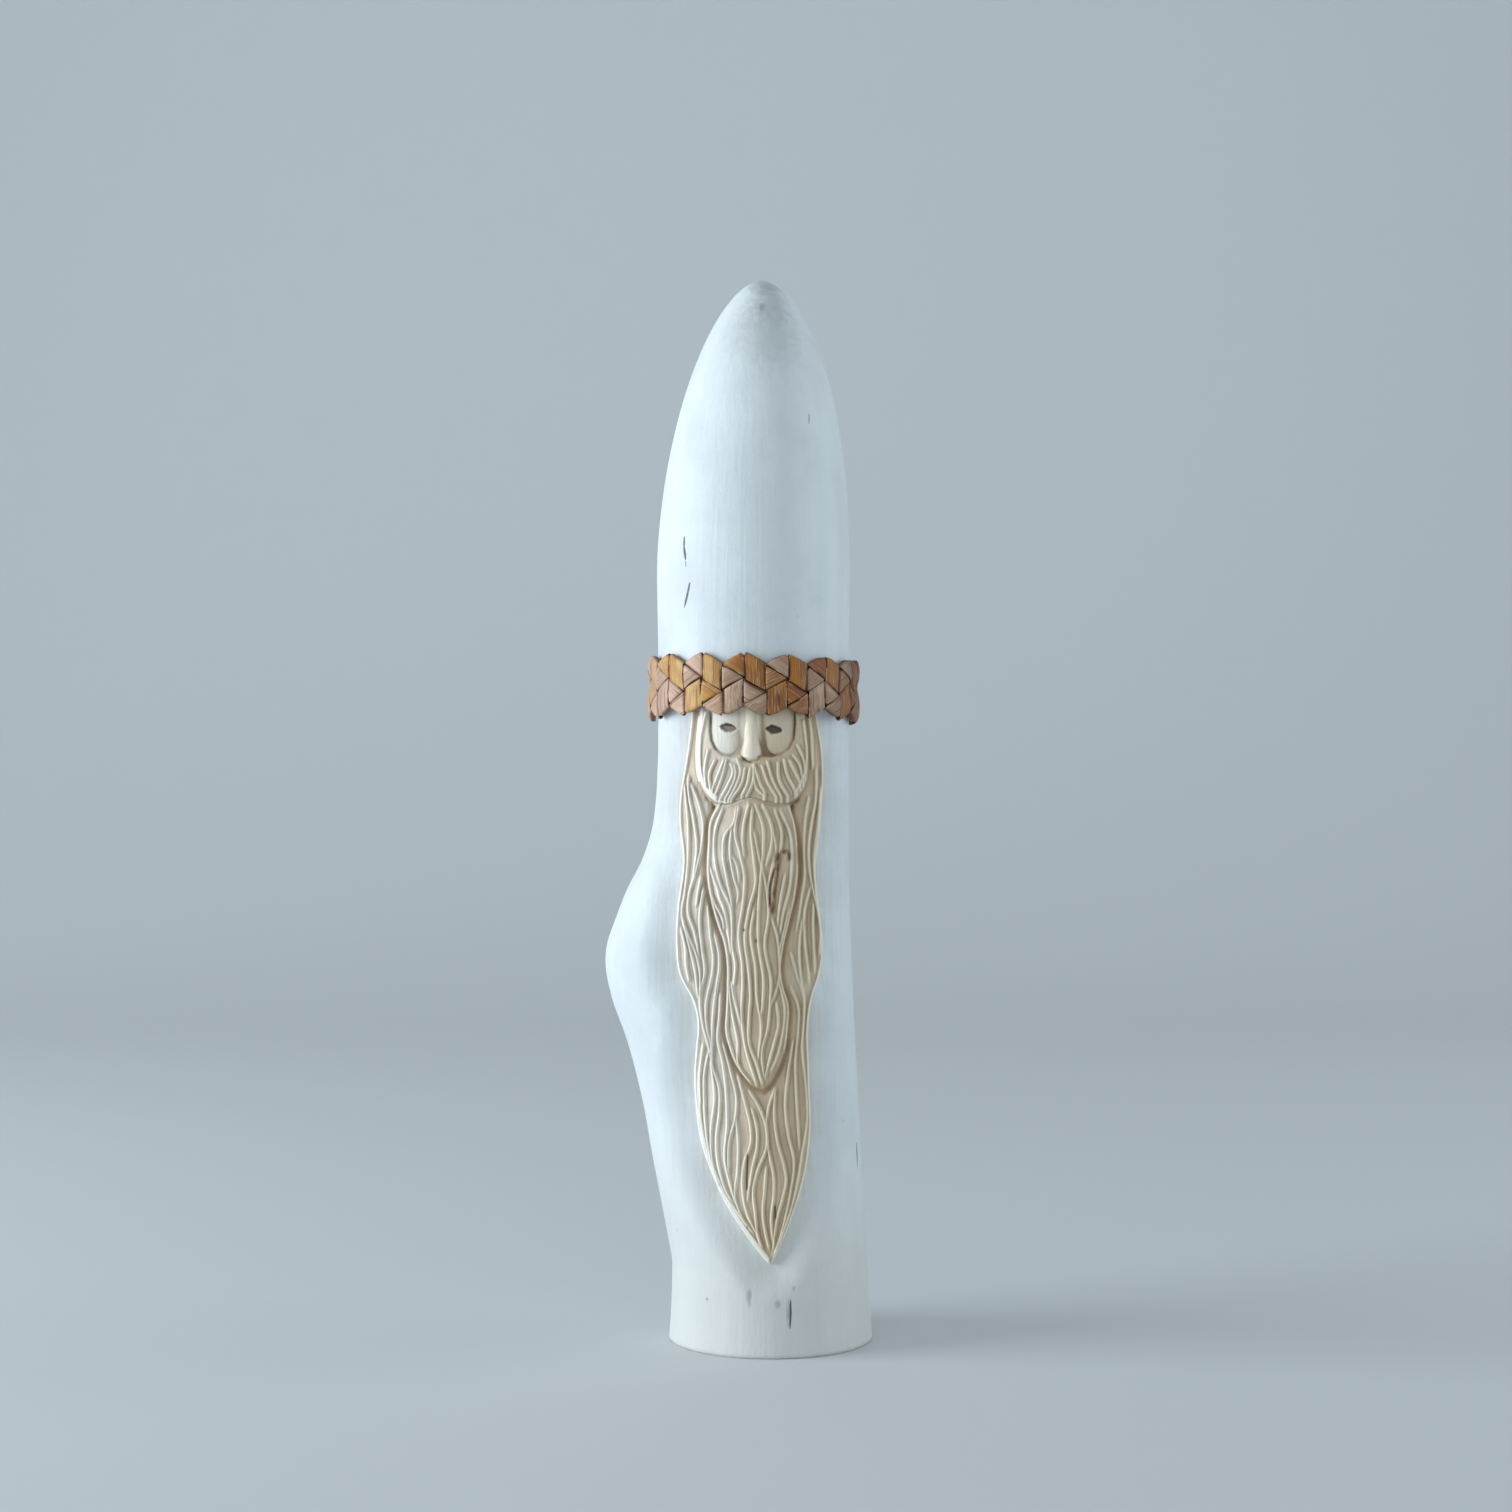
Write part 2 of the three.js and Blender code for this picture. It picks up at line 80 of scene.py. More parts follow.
def through(points: Points) -> Curve:
    """Makes a smooth curve through points given in order of their first number.

    Args:
        points: Pairs of a place and the value there, with the places rising.

    Returns:
        A function from places to values, held level outside the first and last place.
    """
    places, values = np.array(points, float).T
    steps = np.diff(places)
    slopes = np.diff(values) / steps
    tangents = np.empty_like(values)
    tangents[0], tangents[-1] = slopes[0], slopes[-1]
    weight = steps[:-1] + steps[1:]
    tangents[1:-1] = (slopes[:-1] * steps[1:] + slopes[1:] * steps[:-1]) / weight

    def curve(at: Array) -> Array:
        """Evaluates the curve at some places."""
        held = np.clip(at, places[0], places[-1])
        i = np.clip(np.searchsorted(places, held, side="right") - 1, 0, len(steps) - 1)
        h = steps[i]
        t = (held - places[i]) / h
        rest = 1.0 - t
        return (
            values[i] * (1.0 + 2.0 * t) * rest**2
            + values[i + 1] * (3.0 - 2.0 * t) * t**2
            + tangents[i] * h * t * rest**2
            - tangents[i + 1] * h * t**2 * rest
        )

    return curve


def falling(points: Points) -> Curve:
    """A smooth curve x(z) through (x, z) points listed from the top down."""
    return through([(z, x) for x, z in reversed(points)])


def slant(run: Curve, z: Array, reach: float) -> Array:
    """How much longer than its height a line x(z) is, measured a short way down and up."""
    lean = (run(z + reach) - run(z - reach)) / (2.0 * reach)
    return np.sqrt(1.0 + lean * lean)


def ripple(seed: int, shortest: float, longest: float, waves: int = 7) -> Curve:
    """Makes an even, seeded wobble between about -1 and 1.

    Args:
        seed: Picks the wobble.
        shortest: The shortest wave in it.
        longest: The longest wave in it.
        waves: How many waves are laid over each other.

    Returns:
        A function from places to wobble.
    """
    draw = np.random.default_rng(seed)
    lengths = np.geomspace(shortest, longest, waves) * draw.uniform(*WAVE_SPREAD, waves)
    phases = draw.uniform(0.0, 2.0 * math.pi, waves)
    weights = np.sqrt(lengths / lengths.sum())

    def wobble(at: Array) -> Array:
        """Evaluates the wobble at some places."""
        total = np.zeros_like(at, dtype=float)
        for length, phase, weight in zip(lengths, phases, weights):
            total = total + weight * np.sin(2.0 * math.pi * at / length + phase)
        return total / math.sqrt(waves) * WAVE_HEIGHT

    return wobble


def from_piece(x: Array, z: Array, start: Sequence[float], step: Sequence[float]) -> Array:
    """The distance from places in the front view to one straight piece of a line."""
    (ax, az), (dx, dz) = start, step
    length = max(dx * dx + dz * dz, TINY)
    t = np.clip(((x - ax) * dx + (z - az) * dz) / length, 0.0, 1.0)
    return np.hypot(x - ax - t * dx, z - az - t * dz)


class Loop:
    """A closed line in the front view that tells how far inside it a point lies."""

    def __init__(self, points: Points) -> None:
        """Keeps the corners, which go round once."""
        self.corners = np.array(points, float)

    def inside(self, x: Array, z: Array) -> Array:
        """Measures the way to the line.

        Args:
            x: Places across.
            z: Places up.

        Returns:
            The distance to the line, negative outside it.
        """
        start = self.corners
        step = np.roll(start, -1, axis=0) - start
        nearest = np.full(x.shape, np.inf)
        crossings = np.zeros(x.shape, int)
        for (ax, az), (dx, dz) in zip(start, step):
            nearest = np.minimum(nearest, from_piece(x, z, (ax, az), (dx, dz)))
            if dz != 0.0:
                spans = (z - az >= 0.0) != (z - az - dz >= 0.0)
                crossings += spans & (x < ax + dx * (z - az) / dz)
        return np.where(crossings % 2 == 1, nearest, -nearest)


def shifted(points: Points, by: float) -> Points:
    """The same line further to the right."""
    return tuple((x + by, z) for x, z in points)


def from_line(x: Array, z: Array, points: Points) -> Array:
    """The distance from places in the front view to an open line of points."""
    nearest = np.full(x.shape, np.inf)
    for (ax, az), (bx, bz) in zip(points, points[1:]):
        nearest = np.minimum(nearest, from_piece(x, z, (ax, az), (bx - ax, bz - az)))
    return nearest


@dataclass(frozen=True)
class Branch:
    """The branch before it was carved: a round trunk with a pointed hat and a healed knot."""

    height: float = 300.0
    trunk_radius: float = 27.2
    foot_radius: float = 29.1
    foot_flare: float = 18.0
    lean: float = -4.9
    lean_height: float = 150.0
    hat_radius: float = 27.5
    hat_height: float = 85.0
    hat_sharpness: float = 0.56
    tip_return: float = 2.2
    knot_standout: float = 16.1
    knot_height: float = 105.0
    knot_below: float = 83.0
    knot_above: float = 60.0
    knot_roundness: float = 1.3
    crown_centre: float = 184.5
    crown_half: float = 8.63
    farthest_side: float = 0.995
    search_steps: int = 6
    knot_profile: Points = (
        (-1, 0), (-0.66, 0.31), (-0.46, 0.45), (-0.25, 0.68), (-0.1, 0.92), (0, 1),
        (0.12, 0.95), (0.22, 0.81), (0.37, 0.58), (0.51, 0.3), (0.65, 0.12), (0.8, 0.04), (1, 0),
    )

    @property
    def hat_start(self) -> float:
        """The height where the hat begins to narrow."""
        return self.height - self.hat_height

    def axis(self, z: Array) -> Array:
        """How far the branch's middle has wandered to the side at a height."""
        lean = self.lean * smooth(z / self.lean_height)
        return lean + self.tip_return * smooth((z - self.hat_start) / self.hat_height)

    def radius(self, z: Array) -> Array:
        """The branch's radius at a height."""
        flare = (self.foot_radius - self.trunk_radius) * np.exp(-z / self.foot_flare)
        crown_top = self.crown_centre + self.crown_half
        rise = smooth((z - crown_top) / (self.hat_start - crown_top))
        wide = self.trunk_radius + flare + (self.hat_radius - self.trunk_radius) * rise
        t = np.maximum((z - self.hat_start) / self.hat_height, 0.0)
        return wide * np.maximum(1.0 - t * t, 0.0) ** self.hat_sharpness

    def knot(self, z: Array) -> Array:
        """How far the healed knot stands out to the left at a height."""
        above = z > self.knot_height
        place = (z - self.knot_height) / np.where(above, self.knot_above, self.knot_below)
        profile = np.clip(through(self.knot_profile)(place), 0.0, 1.0)
        return self.knot_standout * np.where(np.abs(place) < 1.0, profile, 0.0)

    def surface(self, angle: Array, z: Array, depth: Array) -> Array:
        """Places points on the branch.

        Args:
            angle: Angles round the branch from its front, positive to the viewer's right.
            z: Heights.
            depth: How far the points lie under the bark's place.

        Returns:
            The points, one row each.
        """
        side = np.sin(angle)
        r = np.maximum(self.radius(z) - depth, 0.0)
        knob = self.knot(z) * np.maximum(-side, 0.0) ** self.knot_roundness
        return np.stack([self.axis(z) + r * side - knob, -r * np.cos(angle), z], axis=-1)

    def side_at(self, x: Array, z: Array, depth: Array) -> Array:
        """The sine of the angle at which the front of the branch has a given x.

        Args:
            x: Places across.
            z: Heights.
            depth: How far under the bark's place they lie.

        Returns:
            The sine at each place, negative to the viewer's left.
        """
        r = self.radius(z) - depth
        knot = self.knot(z)
        off = x - self.axis(z)
        side = off / (r + np.where(off < 0.0, knot, 0.0))
        for _ in range(self.search_steps):
            left = np.maximum(-side, 1e-6)
            value = r * side - np.where(side < 0.0, knot * left**self.knot_roundness, 0.0) - off
            bend = knot * self.knot_roundness * left ** (self.knot_roundness - 1.0)
            side = side - value / (r + np.where(side < 0.0, bend, 0.0))
            side = np.clip(side, -self.farthest_side, self.farthest_side)
        return side


@dataclass(frozen=True)
class FrontView:
    """The level view of the figure in which its carving was laid out."""

    eye_x: float = -4.2
    eye_z: float = 165.0
    distance: float = 757.0
    drawing_plane: float = 27.0
    picture_half: float = 214.8
    search_steps: int = 6
    mark_depth: float = 0.2

    @property
    def field_of_view(self) -> float:
        """The angle that the view takes in."""
        return 2.0 * math.atan(self.picture_half / self.distance)

    def seen(self, points: Array) -> tuple[Array, Array]:
        """Where points of the figure lie in the front view, at the scale of its nearest side."""
        scale = (self.distance - self.drawing_plane) / (self.distance + points[..., 1])
        x = self.eye_x + (points[..., 0] - self.eye_x) * scale
        return x, self.eye_z + (points[..., 2] - self.eye_z) * scale

    def place(self, branch: Branch, x: Array, z: Array, depth: Array) -> Array:
        """Puts places of the front view on the branch.

        Args:
            branch: The branch to lay them on.
            x: Places across in the view.
            z: Places up in the view.
            depth: How far under the branch's surface each lies.

        Returns:
            The points, one row each.
        """
        near = self.distance - self.drawing_plane
        y = np.full(x.shape, -self.drawing_plane)
        for _ in range(self.search_steps):
            scale = (self.distance + y) / near
            real_x = self.eye_x + (x - self.eye_x) * scale
            real_z = self.eye_z + (z - self.eye_z) * scale
            side = branch.side_at(real_x, real_z, depth)
            y = -(branch.radius(real_z) - depth) * np.sqrt(1.0 - side * side)
        return np.stack([real_x, y, real_z], axis=-1)


BRANCH = Branch()
VIEW = FrontView()


def on_front(x: float, z: float) -> Vector:
    """Where a mark of the front view lies on the branch, in metres."""
    across, up, depth = (np.array([value]) for value in (x, z, VIEW.mark_depth))
    return Vector(VIEW.place(BRANCH, across, up, depth)[0] * MM)


@dataclass(frozen=True)
class Locks:
    """How gouged locks lie at some places: their height, their crests and their dark feet, of wash and
    painted shade.
    """

    height: Array
    crest: Array
    groove: Array


@dataclass(frozen=True)
class Strands:
    """Gouged locks: sharp crests along lines, each with a slope and a dark mark of wash and painted
    shade on either side.
    """

    lines: Sequence[Points]
    seed: int = 1
    spike: float = 0.36
    spike_share: float = 0.5
    flank: float = 0.5
    flank_spread: float = 1.9
    crest_half: float = 0.25
    crest_waver: float = 0.14
    crest_waves: tuple[float, float] = (4.0, 20.0)
    mark_off: tuple[float, float] = (0.56, 0.85)
    mark_half: tuple[float, float] = (0.21, 0.3)
    faintest_mark: float = 0.35
    lean_reach: float = 0.25
    fade: float = 2.6
    fade_outside: float = 0.6
    overrun: float = 0.0
    furrows: float = 0.1
    furrow_widths: tuple[float, float] = (0.55, 1.9)
    furrow_lengths: tuple[float, float] = (6.0, 22.0)
    furrow_sway: float = 0.7
    furrow_sway_length: float = 7.0
    furrow_lean: float = 2.0

    def carve(self, x: Array, z: Array) -> Locks:
        """Lays the locks.

        Args:
            x: Places across in the front view.
            z: Places up in the front view.

        Returns:
            The locks there, with heights from 0 in the hollows to 1 on the crests.
        """
        height, crest, groove = np.zeros(x.shape), np.zeros(x.shape), np.zeros(x.shape)
        chances = np.random.default_rng(self.seed).uniform(0.0, 1.0, (len(self.lines), 4))
        for number, (line, chance) in enumerate(zip(self.lines, chances)):
            run = falling(line)
            highest, lowest = line[0][1], line[-1][1] - self.overrun
            off = (x - run(z)) / slant(run, z, self.lean_reach)
            away, right = np.abs(off), off > 0.0
            outside = self.fade_outside * self.fade
            strength = smooth((highest + outside - z) / self.fade)
            strength = strength * smooth((z - lowest + outside) / self.fade)
            reach = self.flank + self.flank_spread * np.where(right, chance[0], chance[1]) ** 2
            ridge = self.spike_share * bell(away, self.spike)
            ridge = ridge + (1.0 - self.spike_share) * np.exp(-away / reach)
            height = np.maximum(height, strength * ridge)
            waver = self.crest_waver * (1.0 - ripple(self.seed + number, *self.crest_waves)(z))
            crest = np.maximum(crest, (1.0 - waver) * strength * bell(away, self.crest_half))
            # The dark mark beside each crest: wash with painted shade.
            place = np.where(right, self.mark_off[1], self.mark_off[0])
            half = np.where(right, self.mark_half[1], self.mark_half[0])
            chosen = np.where(right, chance[2], chance[3])
            cut = self.faintest_mark + (1.0 - self.faintest_mark) * chosen
            groove = np.maximum(groove, cut * strength * bell(away - place, half))
        swayed = x + self.furrow_sway * np.sin(z / self.furrow_sway_length)
        gouging = ripple(61, *self.furrow_widths)(swayed)
        gouging = gouging * ripple(62, *self.furrow_lengths)(z + self.furrow_lean * x)
        height = height + self.furrows * gouging * (1.0 - crest)
        return Locks(np.clip(height, 0.0, 1.0), np.clip(crest, 0.0, 1.0), groove * (1.0 - crest))


# The carving's outlines in the front view, as places across and up. The hair's and the beard's
# sides run from the top down, the other two from the top left round below to the top right.
HAIR_LEFT = (
    (-21.6, 186), (-21.7, 176), (-22.3, 170.5), (-23.4, 162.8), (-24.3, 157.6), (-25, 152.1),
    (-25, 146.9), (-24, 136.5), (-25.5, 123.4), (-25.9, 112.9), (-24.8, 104.7), (-21.3, 98),
    (-20, 92.4), (-20.4, 85.3), (-20.9, 77.9), (-20.6, 70.5), (-19, 59), (-16.3, 51.1),
    (-12.2, 42.2), (-7.5, 34.9), (-2.8, 28.5), (-0.7, 26),
)
HAIR_RIGHT = (
    (12, 186), (12.4, 176), (13.9, 165.3), (14.1, 160.1), (13.7, 152.1), (12.8, 141.7),
    (11.9, 133.8), (12.2, 129.1), (13.3, 120.3), (13.9, 112.1), (13.2, 106.1), (10.9, 98.4),
    (9.8, 89.9), (10, 82.8), (10.3, 72.9), (10.6, 65.8), (9.8, 55.1), (8.3, 47.5), (5.8, 39.5),
    (3.2, 32.7), (0.7, 27.5), (0, 26),
)
BEARD_LEFT = (
    (-13.4, 156), (-14.6, 151.6), (-16.7, 147.6), (-17.4, 141), (-17.5, 131), (-15.6, 121.5),
    (-12.9, 113), (-12.2, 107), (-12.2, 102), (-12.5, 95), (-12.7, 90), (-11.4, 84.5),
    (-9.6, 80), (-7.1, 76.6), (-4.2, 73.9), (-3, 73.4),
)
BEARD_RIGHT = (
    (3.6, 156), (4.6, 151.6), (6.2, 146.4), (7, 140.4), (7.2, 134), (6.4, 127), (4.6, 119),
    (3, 112), (2.4, 107), (3, 102), (4.5, 97), (4.3, 90), (3.5, 84), (1.7, 78.8), (-0.6, 74.8),
    (-2, 73.4),
)
BIB_SIDES = (
    (-19.4, 186), (-19.9, 176), (-20.6, 165.3), (-20.2, 160.1), (-18.7, 155.7), (-16.3, 153),
    (-13.5, 151.7), (-10.2, 152.2), (-6.2, 153.6), (-2.2, 152.6), (1.5, 151.9), (5.2, 152.3),
    (8.3, 155), (9.8, 159), (10, 165.3), (9.3, 173.2), (8.4, 186),
)
FACE_SIDES = (
    (-16.7, 190), (-16.9, 176), (-17, 172), (-16.7, 169.3), (-15.6, 166.9), (-13.6, 165.2),
    (-10.8, 164.6), (-8.4, 164.9), (-8, 163.7), (-5.9, 163), (-3.6, 163.8), (-2.8, 164.9),
    (0, 164.6), (3, 165.3), (5.2, 167), (6.4, 169.8), (6.8, 174), (6.6, 190),
)

# The crests that the locks run along, from the top down.
HAIR_LINES = (
    ((-22.8, 159.4), (-22.7, 155), (-21.4, 148), (-20.5, 140), (-21.4, 131.9)),
    ((-22, 157.3), (-19.9, 152), (-18.7, 146), (-18.9, 142), (-21.1, 132.1), (-22.6, 127),
     (-22.7, 121.5), (-21.4, 117.8), (-20.2, 112.5), (-19.8, 110.4)),
    ((-23.8, 157), (-22.8, 145), (-22.9, 135.7), (-23.7, 127.6), (-24.5, 121.5), (-22.6, 115.6),
     (-20.2, 109.2), (-19.5, 103), (-19.8, 99.6)),
    ((-24.3, 119.9), (-22.8, 114.1), (-20.8, 105.2), (-20.1, 99)),
    ((-24.8, 117.8), (-23.6, 112.5), (-23.4, 107.6), (-22.6, 103.6)),
    ((-19.3, 131.9), (-20, 128.2), (-20.6, 123.9)),
    ((-18.7, 128.5), (-19.7, 120.5), (-19.1, 112.8), (-18.3, 106.7), (-19.6, 97.8), (-18.8, 91.3),
     (-17.1, 85), (-16.2, 80.4), (-14.3, 73.6), (-14.3, 67.3), (-15.1, 59.9), (-14.3, 51.6),
     (-11.4, 44), (-10.2, 42.4)),
    ((-17.4, 123.9), (-16.7, 115.6), (-15.9, 109.2), (-16.6, 103), (-17.9, 97), (-17.6, 90.1),
     (-16.6, 86.4), (-16.8, 82.6)),
    ((-15.6, 116.5), (-14.3, 110.4), (-14.3, 107), (-15.1, 101.2), (-16, 94.1), (-16.3, 81.7)),
    ((-14, 99.9), (-14.3, 93.2), (-14.8, 88), (-13.4, 80.9), (-12.6, 74.7), (-12.2, 64),
     (-12.7, 53.5), (-11.8, 49.4), (-10, 42.9)),
    ((-17, 84.6), (-18.3, 78.6), (-18.4, 70.1), (-17.9, 62), (-16.4, 53)),
    ((-18.7, 86), (-19.6, 78), (-19.4, 69)),
    ((-16.7, 81.5), (-15.6, 72.2), (-16.6, 61), (-15.8, 51.8), (-13.9, 46.5), (-10.6, 41.8),
     (-7.6, 37.5), (-4.9, 34.2)),
    ((-13.3, 86.4), (-11.1, 78.2), (-9.6, 71), (-10, 65.4), (-11.5, 59.9), (-11.8, 50)),
    ((-9.7, 65.7), (-9.1, 58), (-9.4, 50.5), (-10, 44), (-7.9, 38)),
    ((-9.2, 77.7), (-7.2, 69.7), (-5.8, 63.8), (-5.8, 58.3), (-7.3, 54.2), (-7.9, 46),
     (-6.5, 39.1), (-4, 33.9)),
    ((-5.4, 68.4), (-4, 62.7), (-4, 58), (-5.3, 51.8), (-6.6, 42.9)),
    ((-6.1, 73.3), (-3.2, 68.4), (-1.3, 62), (-1.3, 58), (-3.8, 51.4), (-5, 46.2), (-4.5, 39.9),
     (-3.8, 33.6), (-2.7, 30.1)),
    ((-1.5, 52.2), (-1.9, 46.2), (-2.4, 40), (-1.3, 32.5), (-0.7, 30.1)),
    ((0.9, 73.7), (-0.8, 68.7), (-1.4, 65), (-1, 58), (0.6, 48.9), (0.5, 44), (-0.1, 39.1),
     (0.3, 32)),
    ((1, 73), (0.7, 68.5), (1.7, 59), (3.5, 52.4), (4, 48.5), (3.2, 44.5), (1.4, 37.5), (0.4, 30)),
    ((5.9, 87.2), (4.4, 77.1), (3.7, 70), (4.6, 61), (6.1, 54), (5.2, 45.6), (3.3, 36.4), (0.9, 28.5)),
    ((10.3, 175.7), (10.9, 171.1), (11.1, 166.2), (11.3, 161.3)),
    ((12.2, 161.9), (12, 152.7), (10.9, 146.5), (10.1, 139), (10.7, 131.9), (12.6, 123),
     (13.3, 118), (13.2, 110.4)),
    ((13.5, 156.3), (12.7, 146.5), (11.6, 136), (12.1, 128.2), (13, 123.3)),
    ((10.1, 153.6), (9.2, 148), (8.8, 138.8), (9, 132.8), (8, 125.1), (6.8, 117.1)),
    ((10.7, 129.1), (9.2, 123.6), (9, 115.3), (10, 106.1), (10.3, 103)),
    ((11.5, 124.5), (11.3, 119), (11.7, 109.2), (11.8, 106.1)),
    ((8.3, 119.9), (7.6, 113), (7.8, 106.1), (8.3, 102.4)),
    ((5.3, 111), (6.9, 105.2), (8.7, 99.6), (8.8, 92.2), (8.3, 86), (9.5, 73.6), (9.8, 66),
     (8.5, 57.1), (7.1, 48.4), (5, 39.6), (3.9, 36.4), (1.9, 31)),
    ((5.3, 101.5), (7.3, 96.2), (7.3, 90), (6.5, 81.7), (6.8, 70.8), (7.7, 57.2)),
)
BEARD_LINES = (
    ((-13.4, 150.7), (-15.4, 144.7), (-15.6, 137.3), (-13.7, 129.1), (-11.3, 124), (-10.8, 118),
     (-10.7, 112.5), (-9.9, 108.2), (-10.4, 101.8)),
    ((-9.7, 150.3), (-10.5, 146.4), (-12.4, 144), (-13.3, 138.8), (-12.3, 131.9), (-11.2, 126.5),
     (-10.7, 123.2)),
    ((-16.7, 134.3), (-15.8, 131.2), (-14.8, 128.5), (-14.2, 126), (-13.4, 124.1), (-12.4, 120.4),
     (-11.8, 115.9), (-11.1, 111)),
    ((-16.4, 126.9), (-15.5, 124.6), (-14.3, 122.2), (-13.4, 120.3), (-13, 117.5)),
    ((-10.6, 137.5), (-9.5, 135.1), (-9, 132.7), (-8.9, 130.4)),
    ((-11, 145), (-11.4, 139.5), (-10.3, 131.9), (-9.1, 127), (-9.4, 124.8)),
    ((-9, 150.7), (-10, 144), (-8.5, 137.9), (-7.4, 132), (-7.8, 124.8), (-9, 116), (-8, 107.5),
     (-7.9, 101.5), (-8.2, 95), (-7.1, 85), (-4.6, 76.6), (-4, 74.7)),
    ((-6.3, 151.7), (-7.6, 146.2), (-7.9, 142), (-7.5, 137.3)),
    ((-5.3, 150.8), (-5.6, 143.4), (-4.9, 137.3), (-4.4, 130), (-6.1, 123.3), (-7.3, 115),
     (-6.5, 108.1), (-5.8, 99), (-6.2, 92.8), (-6.1, 86), (-4, 80.4), (-2.6, 75.3)),
    ((-4.8, 123), (-5.7, 117.1), (-4.4, 107), (-4, 98.4), (-2.9, 92), (-3.6, 82)),
    ((-4.8, 144.4), (-3.7, 138.8), (-1.3, 128.2), (-0.8, 122), (-1.9, 113), (-0.2, 103),
     (-0.5, 96), (-1, 90.7), (-2.6, 84), (-2.1, 77.1)),
    ((-4.3, 151.4), (-2.4, 145.9), (-2.3, 139.4), (-3.3, 128), (-3.6, 114), (-2.2, 103),
     (-2.7, 94.1)),
    ((-2.3, 151.4), (0, 145.6), (0.2, 142.2), (-1.6, 134.8)),
    ((0.9, 150.2), (2.7, 144), (2.3, 138.2)),
    ((0.1, 145), (0.9, 142.2), (1.3, 139.1)),
    ((2.3, 150), (4.9, 144), (5.5, 136), (4.9, 129.1), (2.9, 120.8), (2.4, 116.5)),
    ((0.6, 136.5), (-0.1, 133), (-0.8, 129.8), (-1, 126)),
    ((1.1, 133.4), (0.3, 129.1), (0.2, 124)),
    ((0, 120.8), (1.7, 114.7), (2.1, 111), (1.9, 103), (-0.1, 96.8)),
    ((3.7, 132.5), (2.3, 124.5), (1.7, 118.4)),
    ((4.8, 123), (3, 115.3), (2.3, 111.9)),
    ((1.3, 97.5), (1.8, 91), (0.6, 86), (-1, 80), (-1.8, 76.7)),
    ((2.1, 102.7), (3.5, 96), (2.8, 88), (1.1, 81.7), (-0.4, 78.5)),
    ((-11.7, 102.7), (-11, 95.9), (-9.3, 87), (-8.7, 79.6), (-5.5, 75.2)),
    ((-11, 103), (-10.2, 98.4), (-9.1, 94.4), (-8.2, 91)),
)
BIB_LINES = (
    ((-18, 177.1), (-18.9, 172.7), (-19.9, 166.5), (-19.6, 160.3), (-17.5, 156), (-15, 153.8)),
    ((-17.4, 166.8), (-18.4, 161), (-18.1, 157.3)),
    ((-15.5, 164), (-17, 160.2), (-16.7, 155.7)),
    ((-13, 164), (-14.6, 160), (-16.2, 155.7)),
    ((-12.3, 164), (-13.3, 160), (-15.4, 154.3)),
    ((-11.3, 163.1), (-10.6, 161.3), (-12.2, 156.7), (-14.1, 153.2)),
    ((-10.2, 162.8), (-9.8, 160.3), (-11.3, 155.7), (-12.6, 153.4)),
    ((-9.4, 164.2), (-8.5, 161.2), (-9.4, 157.6), (-11.7, 153)),
    ((-7.2, 161.9), (-8.4, 157), (-11, 153.1)),
    ((-5.8, 161.9), (-6.9, 156.7), (-8.1, 154.2)),
    ((-4.8, 162.8), (-5.3, 157.3), (-6.8, 154)),
    ((-4.6, 162.2), (-3, 157), (-1.9, 155)),
    ((-4.9, 159.1), (-3.5, 155.3), (-2, 154.1)),
    ((-2.7, 162.5), (-1, 157.6), (1.3, 153.8)),
    ((-1.2, 163.7), (0.4, 158.2), (2.6, 153.8)),
    ((1.7, 163.4), (2, 158.5), (4.4, 153.9)),
    ((3.3, 164.2), (4.3, 159.7), (6.5, 155.4)),
    ((4.7, 164), (7.9, 157.4)),
    ((5.9, 165.3), (7.5, 162.8), (8.7, 158.2)),
    ((7, 168.2), (9, 163.1), (9.2, 160.3)),
    ((8.8, 174.8), (9.7, 165), (9.4, 161.3), (7, 155.7)),
)
# Bark grown into the wood: a line, its half width and its strength.
BARK_STREAKS = (
    (((5, 136.8), (4.7, 138.4), (3.4, 138.8), (2, 137.8), (1.4, 136.1)), 0.68, 1.0),
    (((2.2, 137.1), (1.7, 134.1), (1.2, 130.5), (0.7, 127.1), (0.4, 122.5)), 0.55, 1.0),
    (((0.9, 134), (0.3, 132), (-0.4, 129.1), (-0.5, 123.8)), 0.36, 0.9),
    (((3.9, 146.6), (3.8, 143), (3.4, 139)), 0.5, 0.32),
    (((7, 139.8), (7.25, 137.6), (7.3, 135.6)), 0.28, 0.6),
)
# Which of the streaks has a brown halo, and where across the hair's left side meets its right.
STREAK_HALO = 1
TIP_X = -0.5
# Hollows beside the moustache: a place and a reach.
HOLLOWS = ((-15.3, 151.6, 1.6), (-16.9, 153.6, 1.0), (4.9, 151.5, 1.5), (6.6, 153.2, 0.9))
# Patches where more of the wash has stayed: a place, half widths across and up, and a strength.
WASHES = (
    (-14, 142, 0.9, 4.5, 0.8), (8.3, 135, 0.8, 6, 0.8), (-4.4, 147, 0.8, 3, 0.4),
    (-10, 93, 0.8, 4, 0.5), (1.2, 92, 0.7, 4, 0.5), (-20.5, 104, 0.8, 4, 0.4),
    (-13.6, 66, 0.8, 5, 0.5), (-7.2, 60, 0.8, 5, 0.5), (6.3, 64, 0.7, 5, 0.5),
    (11, 115, 0.7, 5, 0.5), (-2.6, 45, 0.7, 5, 0.5), (-16.8, 95, 0.6, 5, 0.7),
)
SLITS = (
    ((-6.5, 55.7), (-6.65, 50.5)), ((-6.65, 51), (-6.7, 46.4)), ((-6.68, 49.5), (-6.7, 47)),
    ((1, 41.5), (1.1, 38.3)),
)
SLIT_HALF = 0.29
SLIT_STRENGTH = 0.95
PITS = ((-4.2, 114.3), (-7.5, 117.3), (-6.6, 35.8), (-14.2, 47.6))
PIT_HALF = 0.26
PIT_SQUASH = 0.7


